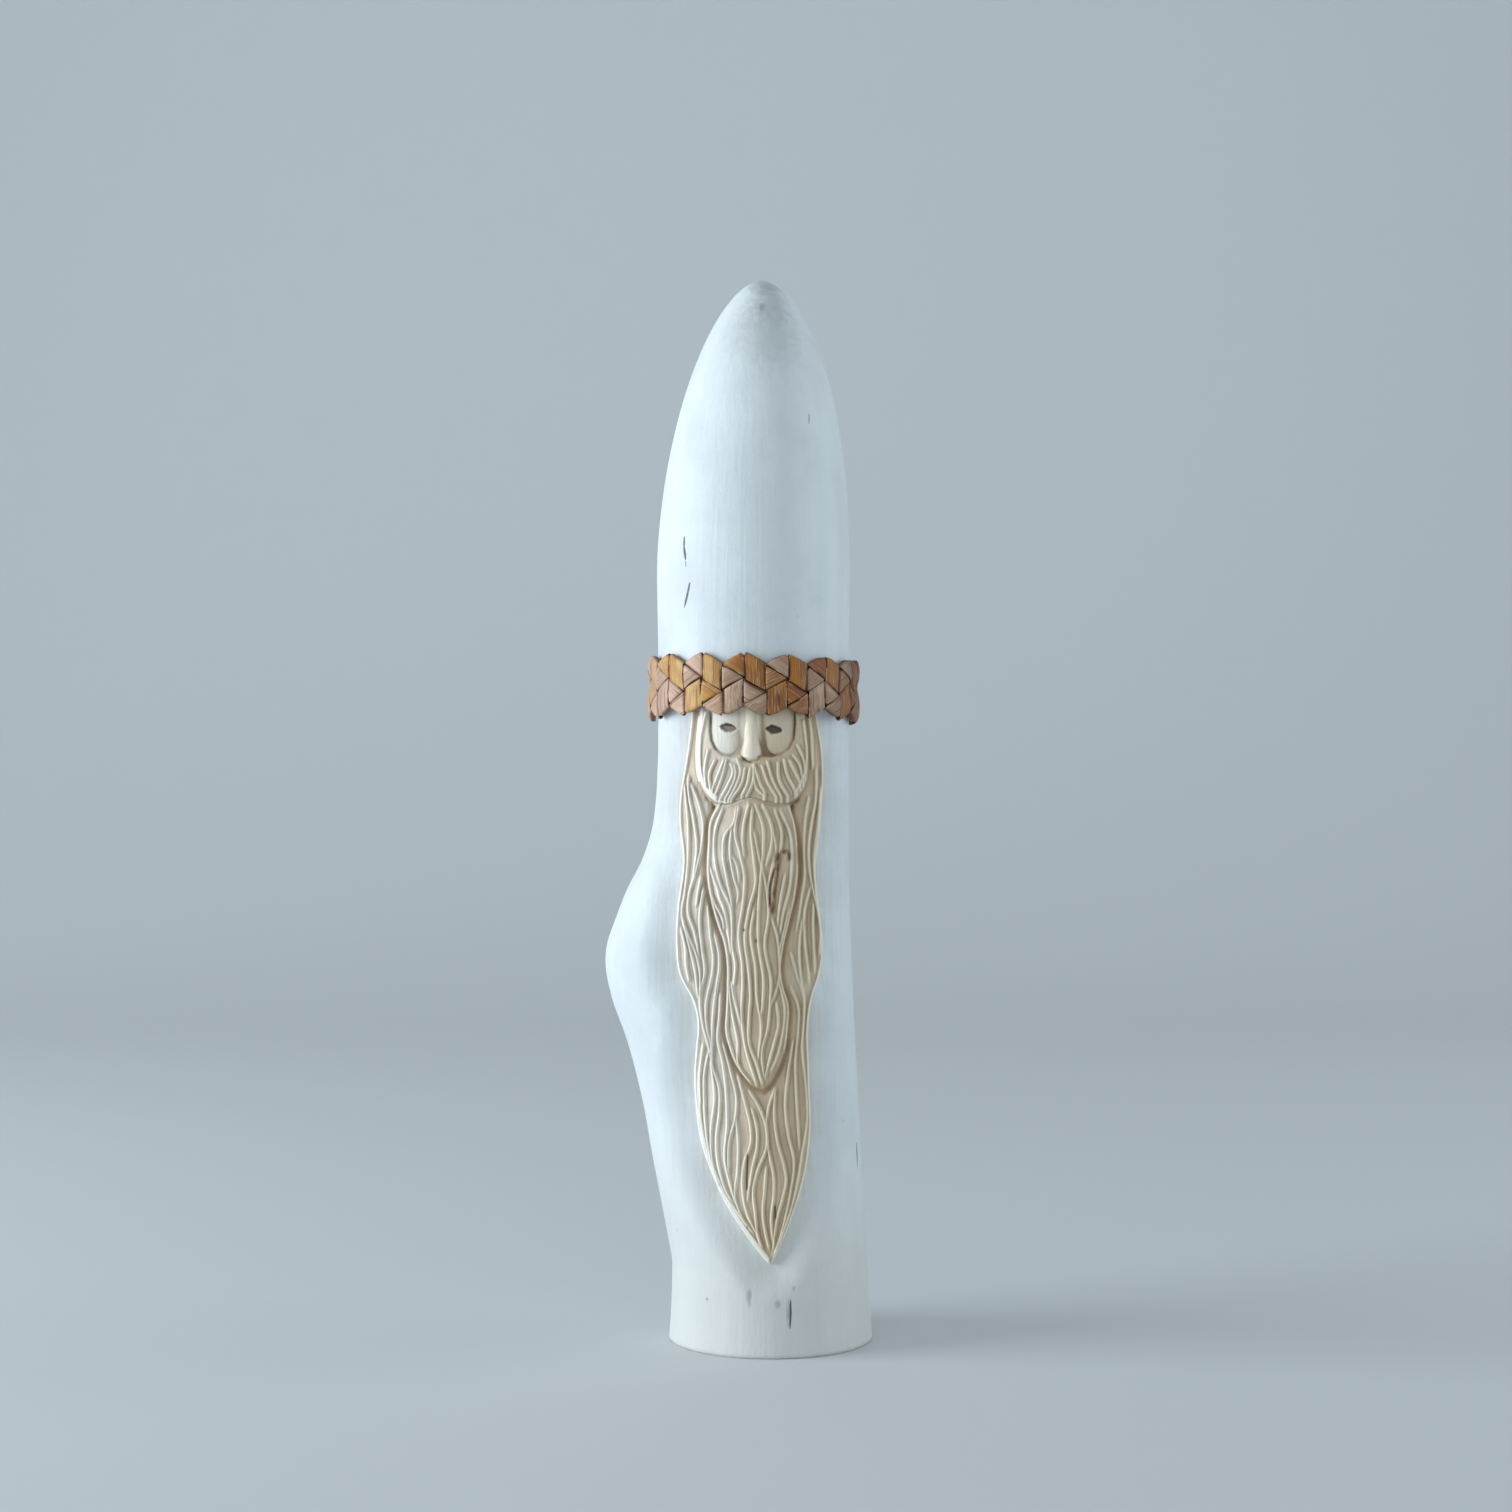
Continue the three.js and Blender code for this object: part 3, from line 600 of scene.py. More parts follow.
def side_loop(left: Points, right: Points, samples: int = 70) -> Loop:
    """Joins the two sides of a hanging tier into one loop.

    Args:
        left: Its left side, from the top down.
        right: Its right side, from the top down.
        samples: How many corners each side gets.

    Returns:
        The loop round the tier.
    """
    heights = np.linspace(left[0][1], left[-1][1], samples)
    one = np.stack([falling(left)(heights), heights], axis=-1)
    other = np.stack([falling(right)(heights), heights], axis=-1)[::-1]
    return Loop(np.concatenate([one, other]))


def rounded(points: Points, pieces: int = 4) -> Array:
    """Rounds an open line of points.

    Args:
        points: The points that it goes through.
        pieces: How many pieces it gets between two points.

    Returns:
        The rounded line's points, one row each.
    """
    corners = np.array(points, float)
    lengths = np.hypot(*np.diff(corners, axis=0).T)
    way = np.concatenate([[0.0], np.cumsum(np.sqrt(lengths))])
    at = np.concatenate(
        [np.linspace(a, b, pieces, endpoint=False) for a, b in zip(way, way[1:])] + [way[-1:]]
    )
    x = through(list(zip(way, corners[:, 0])))(at)
    z = through(list(zip(way, corners[:, 1])))(at)
    return np.stack([x, z], axis=-1)


HAIR_LOOP = side_loop(HAIR_LEFT, HAIR_RIGHT)
BEARD_LOOP = side_loop(BEARD_LEFT, BEARD_RIGHT)
BIB_LOOP = Loop(rounded(BIB_SIDES))
FACE_LOOP = Loop(FACE_SIDES)


@dataclass
class Skin:
    """What a carved surface gives its mesh: its points and the masks that its finish reads."""

    points: Array
    masks: dict[str, Array] = field(default_factory=dict)


def tube(points: Array, masks: dict[str, Array]) -> tuple[bmesh.types.BMesh, dict]:
    """Bends a grid of faces into a tube through rows of points.

    Args:
        points: The points, one row for each ring of the tube.
        masks: Values for the points, in the same rows; the points past their end get 0.

    Returns:
        The tube, open at both ends, and the layers that carry its masks.
    """
    points = np.concatenate([points, points[:, :1]], axis=1)
    rows, columns = points.shape[:2]
    bm = bmesh.new()
    bmesh.ops.create_grid(bm, x_segments=columns - 1, y_segments=rows - 1, size=1.0)
    layers = {mask: bm.verts.layers.float.new(mask) for mask in masks}
    across = np.array([vert.co.x for vert in bm.verts])
    upward = np.array([vert.co.y for vert in bm.verts])
    column = np.rint((across + 1.0) / 2.0 * (columns - 1)).astype(int)
    row = np.rint((upward + 1.0) / 2.0 * (rows - 1)).astype(int)
    for vert, place in zip(bm.verts, (points[row, column] * MM).tolist()):
        vert.co = place
    around = column % (columns - 1)
    for mask, values in masks.items():
        padded = np.zeros((rows, columns))
        padded[:, : values.shape[1]] = values
        for vert, value in zip(bm.verts, padded[row, around].tolist()):
            vert[layers[mask]] = value
    seam = [vert for vert, turn in zip(bm.verts, around) if turn == 0]
    bmesh.ops.remove_doubles(bm, verts=seam, dist=WELD)
    return bm, layers


def ringed_mesh(name: str, skin: Skin, closing: int = 0) -> bpy.types.Object:
    """Turns rows of points into one closed body.

    Each row becomes a ring round the body. The first and last rings are closed with a fan.

    Args:
        name: The piece's name.
        skin: Points and masks in rows, from the bottom up, each row going round.
        closing: How many points to add behind each row to close it, or none if it closes itself.

    Returns:
        The piece, in metres.
    """
    points = skin.points
    if closing:
        share = np.linspace(0.0, 1.0, closing + 2)[1:-1][None, :, None]
        first, last = points[:, :1], points[:, -1:]
        behind = last + (first - last) * share
        width = np.linalg.norm(last - first, axis=-1)[:, :, None]
        push = (BACK_BULGE + BACK_ROUNDING * width) * np.sin(math.pi * share) ** 0.5
        behind = behind + push * np.array([0.0, 1.0, 0.0])
        points = np.concatenate([points, behind], axis=1)
    bm, _ = tube(points, skin.masks)
    rims = [edge for edge in bm.edges if edge.is_boundary]
    made = bmesh.ops.extrude_edge_only(bm, edges=rims)
    new = [part for part in made["geom"] if isinstance(part, bmesh.types.BMVert)]
    middle = points.mean(axis=1) * MM
    halfway = (points[0, :, 2].mean() + points[-1, :, 2].mean()) / 2.0 * MM
    low = [vert for vert in new if vert.co.z < halfway]
    high = [vert for vert in new if vert.co.z >= halfway]
    bmesh.ops.pointmerge(bm, verts=low, merge_co=Vector(middle[0]))
    bmesh.ops.pointmerge(bm, verts=high, merge_co=Vector(middle[-1]))
    return finished(name, bm)


def finished(name: str, bm: bmesh.types.BMesh) -> bpy.types.Object:
    """Turns a bmesh's faces outwards, smooths their shading and makes an object of it.

    Args:
        name: The piece's name.
        bm: Its mesh in the making, which is used up.

    Returns:
        The piece.
    """
    bmesh.ops.recalc_face_normals(bm, faces=bm.faces)
    for face in bm.faces:
        face.smooth = True
    mesh = bpy.data.meshes.new(name)
    bm.to_mesh(mesh)
    bm.free()
    piece = bpy.data.objects.new(name, mesh)
    bpy.context.scene.collection.objects.link(piece)
    return piece


def srgb(red: int, green: int, blue: int) -> tuple[float, float, float, float]:
    """A colour as it looks on a screen, from 0 to 255 a channel, in Blender's linear terms."""
    def linear(level: int) -> float:
        """One channel's linear value."""
        share = level / 255.0
        return share / 12.92 if share <= 0.04045 else ((share + 0.055) / 1.055) ** 2.4
    return linear(red), linear(green), linear(blue), 1.0


Socket = bpy.types.NodeSocket


class Wiring:
    """Adds nodes to a tree and joins their sockets."""

    def __init__(self, tree: bpy.types.NodeTree) -> None:
        """Works on one tree."""
        self.tree = tree

    def node(self, kind: str, inputs: dict | None = None, **settings: object) -> bpy.types.Node:
        """Adds a node.

        Args:
            kind: The node's type, without its ShaderNode prefix.
            inputs: Values or other nodes' outputs for its inputs, by name or number.
            **settings: The node's own options.

        Returns:
            The node.
        """
        made = self.tree.nodes.new("ShaderNode" + kind)
        for option, value in settings.items():
            setattr(made, option, value)
        for key, value in (inputs or {}).items():
            if isinstance(value, Socket):
                self.tree.links.new(value, made.inputs[key])
            else:
                made.inputs[key].default_value = value
        return made

    def maths(self, operation: str, *values: object, clamp: bool = False) -> Socket:
        """One sum on one to three values."""
        made = self.node("Math", dict(enumerate(values)), operation=operation, use_clamp=clamp)
        return made.outputs[0]

    def times(self, one: object, other: object) -> Socket:
        """The product of two values."""
        return self.maths("MULTIPLY", one, other)

    def scaled(self, value: object, by: object, plus: object) -> Socket:
        """A value scaled by one amount, with another added."""
        return self.maths("MULTIPLY_ADD", value, by, plus)

    def vector(self, operation: str, *values: object, out: int = 0) -> Socket:
        """One sum on vectors."""
        made = self.node("VectorMath", dict(enumerate(values)), operation=operation)
        return made.outputs[out]

    def scale(self, vector: Socket, by: object) -> Socket:
        """A vector made longer or shorter by a value."""
        inputs = {0: vector, "Scale": by}
        return self.node("VectorMath", inputs, operation="SCALE").outputs[0]

    def ramp(self, value: Socket, low: object, high: float) -> Socket:
        """Spreads the range from low to high smoothly over 0 to 1."""
        made = self.node("MapRange", {0: value, 1: low, 2: high}, interpolation_type="SMOOTHSTEP")
        return made.outputs[0]

    def mix(self, share: object, one: object, other: object, blend: str = "MIX") -> Socket:
        """Mixes two colours."""
        made = self.node("Mix", {0: share, 6: one, 7: other}, data_type="RGBA", blend_type=blend)
        return made.outputs[2]

    def tint(self, colour: object, other: object, share: object, strength: object) -> Socket:
        """Lays a second colour over a first one by a share, itself weakened by a strength."""
        return self.mix(self.times(share, strength), colour, other)

    def noise(self, place: Socket, scale: object, detail: float = 3.0, rough: float = 0.5) -> Socket:
        """A seeded cloud between 0 and 1."""
        inputs = {"Vector": place, "Scale": scale, "Detail": detail, "Roughness": rough}
        return self.node("TexNoise", inputs).outputs[0]

    def shaken(self, place: Socket, scale: float, detail: float, by: object) -> Socket:
        """A place moved to and fro by a seeded cloud."""
        cloud = self.node("TexNoise", {"Vector": place, "Scale": scale, "Detail": detail})
        off = self.vector("SUBTRACT", cloud.outputs[1], (0.5, 0.5, 0.5))
        return self.vector("ADD", place, self.scale(off, by))

    def squeezed(self, place: Socket, length: Socket) -> Socket:
        """A place with its height divided, so that a pattern on it stretches upwards."""
        share = self.maths("DIVIDE", 1.0, length)
        factors = self.node("CombineXYZ", {0: 1.0, 1: 1.0, 2: share})
        return self.vector("MULTIPLY", place, factors.outputs[0])

    def stretch(self, place: Socket, scale: tuple[float, float, float]) -> Socket:
        """Scales a pattern's space."""
        return self.node("Mapping", {"Vector": place, "Scale": scale}).outputs[0]

    def mask(self, name: str) -> Socket:
        """A mask that the mesh carries."""
        return self.node("Attribute", attribute_name=name).outputs["Fac"]

    def here(self) -> Socket:
        """The place on the object, in metres."""
        return self.node("TexCoord").outputs["Object"]

    def effect(self, tree: bpy.types.NodeTree, **inputs: object) -> bpy.types.Node:
        """Places a shared effect, with its inputs by name."""
        return self.node("Group", inputs, node_tree=tree)

    def across(self) -> Socket:
        """How far to the viewer's right a place on the object is, in metres."""
        return self.node("SeparateXYZ", {0: self.here()}).outputs[0]

    def coat(self, shader: bpy.types.Node, colour: Socket, relief: Socket,
             strength: float, distance: float) -> None:
        """Gives a shader its colour and its fine relief.

        Args:
            shader: The shader.
            colour: Its colour.
            relief: The height of the relief, from about 0 to 1.
            strength: How strongly the relief shows.
            distance: How high it stands, in millimetres.
        """
        inputs = {"Strength": strength, "Distance": distance * MM, "Height": relief}
        bump = self.node("Bump", inputs)
        self.tree.links.new(colour, shader.inputs["Base Color"])
        self.tree.links.new(bump.outputs[0], shader.inputs["Normal"])


def group(
    name: str, inputs: dict[str, object], outputs: Sequence[str]
) -> tuple[Wiring, dict[str, Socket], bpy.types.Node]:
    """Starts a node group.

    Args:
        name: The group's name.
        inputs: Its inputs' names and first values; a value of None is a vector.
        outputs: Its outputs' names, all plain values.

    Returns:
        The wiring inside it, its inputs by name, and its output node.
    """
    tree = bpy.data.node_groups.new(name, "ShaderNodeTree")
    for label, value in inputs.items():
        kind = "NodeSocketVector" if value is None else "NodeSocketFloat"
        made = tree.interface.new_socket(label, in_out="INPUT", socket_type=kind)
        if value is not None:
            made.default_value = value
    for label in outputs:
        tree.interface.new_socket(label, in_out="OUTPUT", socket_type="NodeSocketFloat")
    start = tree.nodes.new("NodeGroupInput")
    end = tree.nodes.new("NodeGroupOutput")
    return Wiring(tree), {s.name: s for s in start.outputs if s.name}, end


class Effects:
    """The effects that several finishes share, each built once as a node group."""

    def __init__(self) -> None:
        """Builds the groups."""
        self.grain = self._grain()
        self.specks = self._specks()
        self.hairline = self._hairline()
        self.spot = self._spot()

    @staticmethod
    def _grain() -> bpy.types.NodeTree:
        """Long fibres that run up the wood."""
        inputs = {"Vector": None, "Fineness": 900.0, "Length": 14.0, "Waver": 0.0012}
        wiring, given, end = group("Wood grain", inputs, ["Fibres", "Bands"])
        bent = wiring.shaken(given["Vector"], 22.0, 1.0, given["Waver"])
        long = wiring.squeezed(bent, given["Length"])
        fine = wiring.noise(long, given["Fineness"])
        wide = wiring.noise(long, wiring.times(given["Fineness"], 0.2), detail=2.0)
        wiring.tree.links.new(wiring.ramp(fine, 0.35, 0.68), end.inputs["Fibres"])
        wiring.tree.links.new(wiring.ramp(wide, 0.38, 0.64), end.inputs["Bands"])
        return wiring.tree

    @staticmethod
    def _specks() -> bpy.types.NodeTree:
        """Scattered small marks, such as dirt, pores and lenticels."""
        inputs = {"Vector": None, "Scale": 250.0, "Size": 0.16, "Share": 0.5}
        wiring, given, end = group("Specks", inputs, ["Marks"])
        cells = wiring.node("TexVoronoi", {"Vector": given["Vector"], "Scale": given["Scale"]})
        chance = wiring.node("SeparateColor", {0: cells.outputs["Color"]}).outputs[0]
        some = wiring.maths("LESS_THAN", chance, given["Share"])
        near = wiring.ramp(cells.outputs["Distance"], given["Size"], 0.0)
        wiring.tree.links.new(wiring.times(near, some), end.inputs["Marks"])
        return wiring.tree

    @staticmethod
    def _hairline() -> bpy.types.NodeTree:
        """A fine line from one place to another, such as a drying check."""
        inputs = {"Vector": None, "Start": None, "End": None, "Width": 0.0004}
        wiring, given, end = group("Hairline", inputs, ["Line"])
        way = wiring.vector("SUBTRACT", given["End"], given["Start"])
        here = wiring.vector(
            "SUBTRACT", wiring.shaken(given["Vector"], 260.0, 2.0, 0.6 * MM), given["Start"]
        )
        along = wiring.vector("DOT_PRODUCT", here, way, out=1)
        length = wiring.vector("DOT_PRODUCT", way, way, out=1)
        share = wiring.maths("DIVIDE", along, length, clamp=True)
        foot = wiring.scale(way, share)
        away = wiring.vector("LENGTH", wiring.vector("SUBTRACT", here, foot), out=1)
        taper = wiring.times(share, wiring.maths("SUBTRACT", 1.0, share))
        taper = wiring.times(wiring.maths("SQRT", taper), 2.0)
        width = wiring.scaled(taper, given["Width"], 0.05 * MM)
        near = wiring.maths("DIVIDE", away, width)
        wiring.tree.links.new(wiring.ramp(near, 1.0, 0.3), end.inputs["Line"])
        return wiring.tree

    @staticmethod
    def _spot() -> bpy.types.NodeTree:
        """A soft, ragged patch round a place, for stains and for painted shade."""
        inputs = {"Vector": None, "Centre": None, "Radius": 0.004, "Height": 1.0}
        wiring, given, end = group("Stain and shade", inputs, ["Stain and shade"])
        off = wiring.vector("SUBTRACT", given["Vector"], given["Centre"])
        away = wiring.vector("LENGTH", wiring.squeezed(off, given["Height"]), out=1)
        near = wiring.maths("DIVIDE", away, given["Radius"])
        near = wiring.scaled(wiring.noise(given["Vector"], 500.0, detail=4.0), 0.9, near)
        wiring.tree.links.new(wiring.ramp(near, 1.5, 0.6), end.inputs["Stain and shade"])
        return wiring.tree


def new_material(name: str, roughness: float) -> tuple[bpy.types.Material, Wiring, bpy.types.Node]:
    """Starts a material with one Principled shader.

    Args:
        name: The material's name.
        roughness: Its plain roughness.

    Returns:
        The material, its wiring and its shader.
    """
    material = bpy.data.materials.new(name)
    material.use_nodes = True
    shader = material.node_tree.nodes["Principled BSDF"]
    shader.inputs["Roughness"].default_value = roughness
    shader.inputs["Metallic"].default_value = 0.0
    return material, Wiring(material.node_tree), shader


@dataclass(frozen=True)
class WhitePaint:
    """Thin matt white paint on smooth wood, with the grain and a few old marks in it, and painted shade
    towards the bottom and round the hat's tip.
    """

    white: tuple = srgb(229, 235, 239)
    shade: tuple = srgb(205, 212, 217)
    wood: tuple = srgb(196, 186, 168)
    low_shade: tuple = srgb(208, 207, 200)
    grime_and_shade: tuple = srgb(140, 142, 142)
    check: tuple = srgb(70, 66, 62)
    clouding: float = 0.45
    fibre_shade: float = 0.22
    fibre_wear: float = 0.4
    cloud_wear: float = 0.3
    low_shading: float = 0.6
    low_shade_from: float = 80.0
    low_shade_to: float = 10.0
    dirtiness: float = 0.3
    check_strength: float = 0.95
    check_sink: float = 2.0
    checks: Sequence = (
        ((-23.8, 225.2), (-23.9, 222), 0.5), ((-23.95, 222.6), (-23.4, 218.6), 0.55),
        ((-23.4, 218.4), (-23.3, 216.8), 0.2), ((-22.2, 212.7), (-23.8, 205.5), 0.58),
        ((10.3, 258.8), (10.2, 256), 0.16), ((23.4, 59.2), (23.6, 52.2), 0.5),
        ((5.3, 16.5), (5.2, 8), 0.35),
    )
    # Stains: a place, a radius, a stretch upwards and a strength. The wide soft patches round the hat's
    # tip, above a height of 280, are painted shade over the small stain there.
    stains_and_tip_shade: Sequence = (
        ((-6.1, 16.8), 1.1, 3.2, 0.6), ((1.8, 14.8), 1.1, 1.6, 0.5), ((4.8, 12.4), 1.1, 4.5, 0.55),
        ((6.2, 19), 0.8, 1.3, 0.5), ((-17.6, 16.2), 0.6, 1, 0.8), ((11.4, 69.2), 0.5, 1, 0.8),
        ((16.8, 162.8), 0.5, 1, 0.6), ((0.3, 289), 8.5, 1.2, 0.3), ((-2.5, 288), 1.3, 1.6, 0.5),
        ((-1.5, 294), 6.5, 1.1, 0.45), ((-1, 281), 14, 1.1, 0.24), ((8, 74), 1, 5, 0.25),
        ((14.8, 50), 1.2, 4, 0.2), ((-17.5, 44), 1.6, 5, 0.2), ((-22.5, 62), 1.5, 6, 0.2),
        ((-27, 108), 1.4, 6, 0.25), ((-27.5, 92), 1.4, 5, 0.2),
    )

    def material(self, effects: Effects) -> bpy.types.Material:
        """Builds the material.

        Args:
            effects: The shared effects.

        Returns:
            The material.
        """
        material, wiring, shader = new_material("white_paint_on_wood", 0.6)
        here = wiring.here()
        grain = wiring.effect(effects.grain, Vector=here, Fineness=700.0, Length=26.0)
        fibres, bands = grain.outputs["Fibres"], grain.outputs["Bands"]
        clouds = wiring.ramp(wiring.noise(here, 38.0, detail=4.0, rough=0.6), 0.35, 0.7)
        colour = wiring.tint(self.white, self.shade, clouds, self.clouding)
        colour = wiring.tint(colour, self.shade, bands, self.fibre_shade)
        # Wood colour shows through where the paint is worn, and beside the carving the same tint is
        # also painted shade.
        thin = wiring.scaled(fibres, self.fibre_wear, wiring.times(clouds, self.cloud_wear))
        colour = wiring.tint(colour, self.wood, wiring.mask("wear_and_shade"), thin)
        # Painted shade, warm like bounced light, darkens the paint towards the bottom.
        up = wiring.node("SeparateXYZ", {0: here}).outputs[2]
        low = wiring.ramp(up, self.low_shade_from * MM, self.low_shade_to * MM)
        colour = wiring.tint(colour, self.low_shade, low, self.low_shading)
        dirt = wiring.effect(effects.specks, Vector=here, Scale=150.0, Size=0.1, Share=0.12)
        colour = wiring.tint(colour, self.grime_and_shade, dirt.outputs[0], self.dirtiness)
        # Stains, and the painted shade round the hat's tip, in the grime colour.
        for centre, radius, height, strength in self.stains_and_tip_shade:
            stain_and_shade = wiring.effect(
                effects.spot, Vector=here, Centre=on_front(*centre),
                Radius=radius * MM, Height=height,
            )
            colour = wiring.tint(colour, self.grime_and_shade, stain_and_shade.outputs[0], strength)
        lines = [
            wiring.effect(
                effects.hairline, Vector=here, Start=on_front(*start), End=on_front(*end),
                Width=width * MM,
            ).outputs[0]
            for start, end, width in self.checks
        ]
        cut = lines[0]
        for line in lines[1:]:
            cut = wiring.maths("MAXIMUM", cut, line)
        colour = wiring.tint(colour, self.check, cut, self.check_strength)
        relief = wiring.scaled(fibres, 0.5, wiring.noise(here, 900.0))
        relief = wiring.scaled(cut, -self.check_sink, relief)
        wiring.coat(shader, colour, relief, strength=0.22, distance=0.35)
        rough = wiring.scaled(clouds, 0.12, 0.56)
        wiring.tree.links.new(rough, shader.inputs["Roughness"])
        return material


@dataclass(frozen=True)
class CarvedWood:
    """Bare carved wood with a brown wash that stays in its hollows, painted light on the figure's left,
    and painted shade in its gouges, under its tiers and round the face.
    """

    crest: tuple = srgb(255, 250, 238)
    cream: tuple = srgb(250, 236, 208)
    pale: tuple = srgb(254, 248, 238)
    face: tuple = srgb(242, 228, 206)
    floor: tuple = srgb(228, 209, 182)
    wash: tuple = srgb(180, 150, 110)
    shadow: tuple = srgb(112, 88, 58)
    deep: tuple = srgb(62, 50, 38)
    bark: tuple = srgb(116, 70, 34)
    paint: tuple = srgb(240, 239, 232)
    left_lit_from: float = -15.0
    left_lit_to: float = -3.0
    left_lighting: float = 0.85
    low_wash: float = 0.7
    fibre_shade: float = 0.14

    def material(self, effects: Effects) -> bpy.types.Material:
        """Builds the material.

        Args:
            effects: The shared effects.

        Returns:
            The material.
        """
        material, wiring, shader = new_material("carved_wood_with_wash", 0.6)
        here = wiring.here()
        grain = wiring.effect(effects.grain, Vector=here, Fineness=1500.0, Length=18.0)
        fibres = grain.outputs["Fibres"]
        clouds = wiring.ramp(wiring.noise(here, 60.0, rough=0.6), 0.3, 0.7)
        high = wiring.ramp(wiring.mask("height"), 0.08, 0.85)
        low = wiring.maths("SUBTRACT", 1.0, high)
        # Painted light: paler wood and whiter crests on the figure's left, where the lamp falls.
        left_lit = wiring.ramp(wiring.across(), self.left_lit_to * MM, self.left_lit_from * MM)
        colour = wiring.mix(high, self.floor, self.face)
        colour = wiring.tint(colour, self.pale, left_lit, self.left_lighting)
        colour = wiring.mix(wiring.mask("crest"), colour, wiring.mix(left_lit, self.cream, self.crest))
        # Wash in the hollows and where the stain mask says; that mask also holds painted shade beside
        # the tiers and in the face's recesses.
        wash = wiring.times(wiring.scaled(clouds, 0.55, 0.15), wiring.times(low, self.low_wash))
        stain_and_shade = wiring.times(wiring.mask("stain_and_shade"), wiring.scaled(low, self.low_wash, 0.2))
        colour = wiring.mix(wiring.maths("MAXIMUM", wash, stain_and_shade, clamp=True), colour, self.wash)
        # Painted shade with some wash, by the groove mask: beside the crests, at the tiers' feet and
        # round the face.
        uneven = wiring.scaled(clouds, 0.35, 0.45)
        colour = wiring.tint(colour, self.shadow, wiring.mask("groove"), uneven)
        colour = wiring.tint(colour, self.wash, fibres, self.fibre_shade)
        # The deep mask darkens slits, pits and the eyes, and paints shade in the hollows, the nostrils
        # and faintly over the face.
        colour = wiring.mix(wiring.mask("deep"), colour, self.deep)
        crumbs = wiring.noise(wiring.stretch(here, (1.0, 1.0, 0.25)), 1900.0)
        broken = wiring.scaled(wiring.ramp(crumbs, 0.32, 0.58), 0.75, 0.2)
        colour = wiring.tint(colour, self.bark, wiring.mask("bark"), broken)
        cover = wiring.scaled(clouds, 0.5, 0.5)
        colour = wiring.tint(colour, self.paint, wiring.mask("paint"), cover)
        relief = wiring.scaled(fibres, 0.6, wiring.noise(here, 1600.0, detail=2.0))
        wiring.coat(shader, colour, relief, strength=0.2, distance=0.25)
        return material


@dataclass(frozen=True)
class Tone:
    """A bark face's lighter and darker colour."""

    light: tuple
    dark: tuple


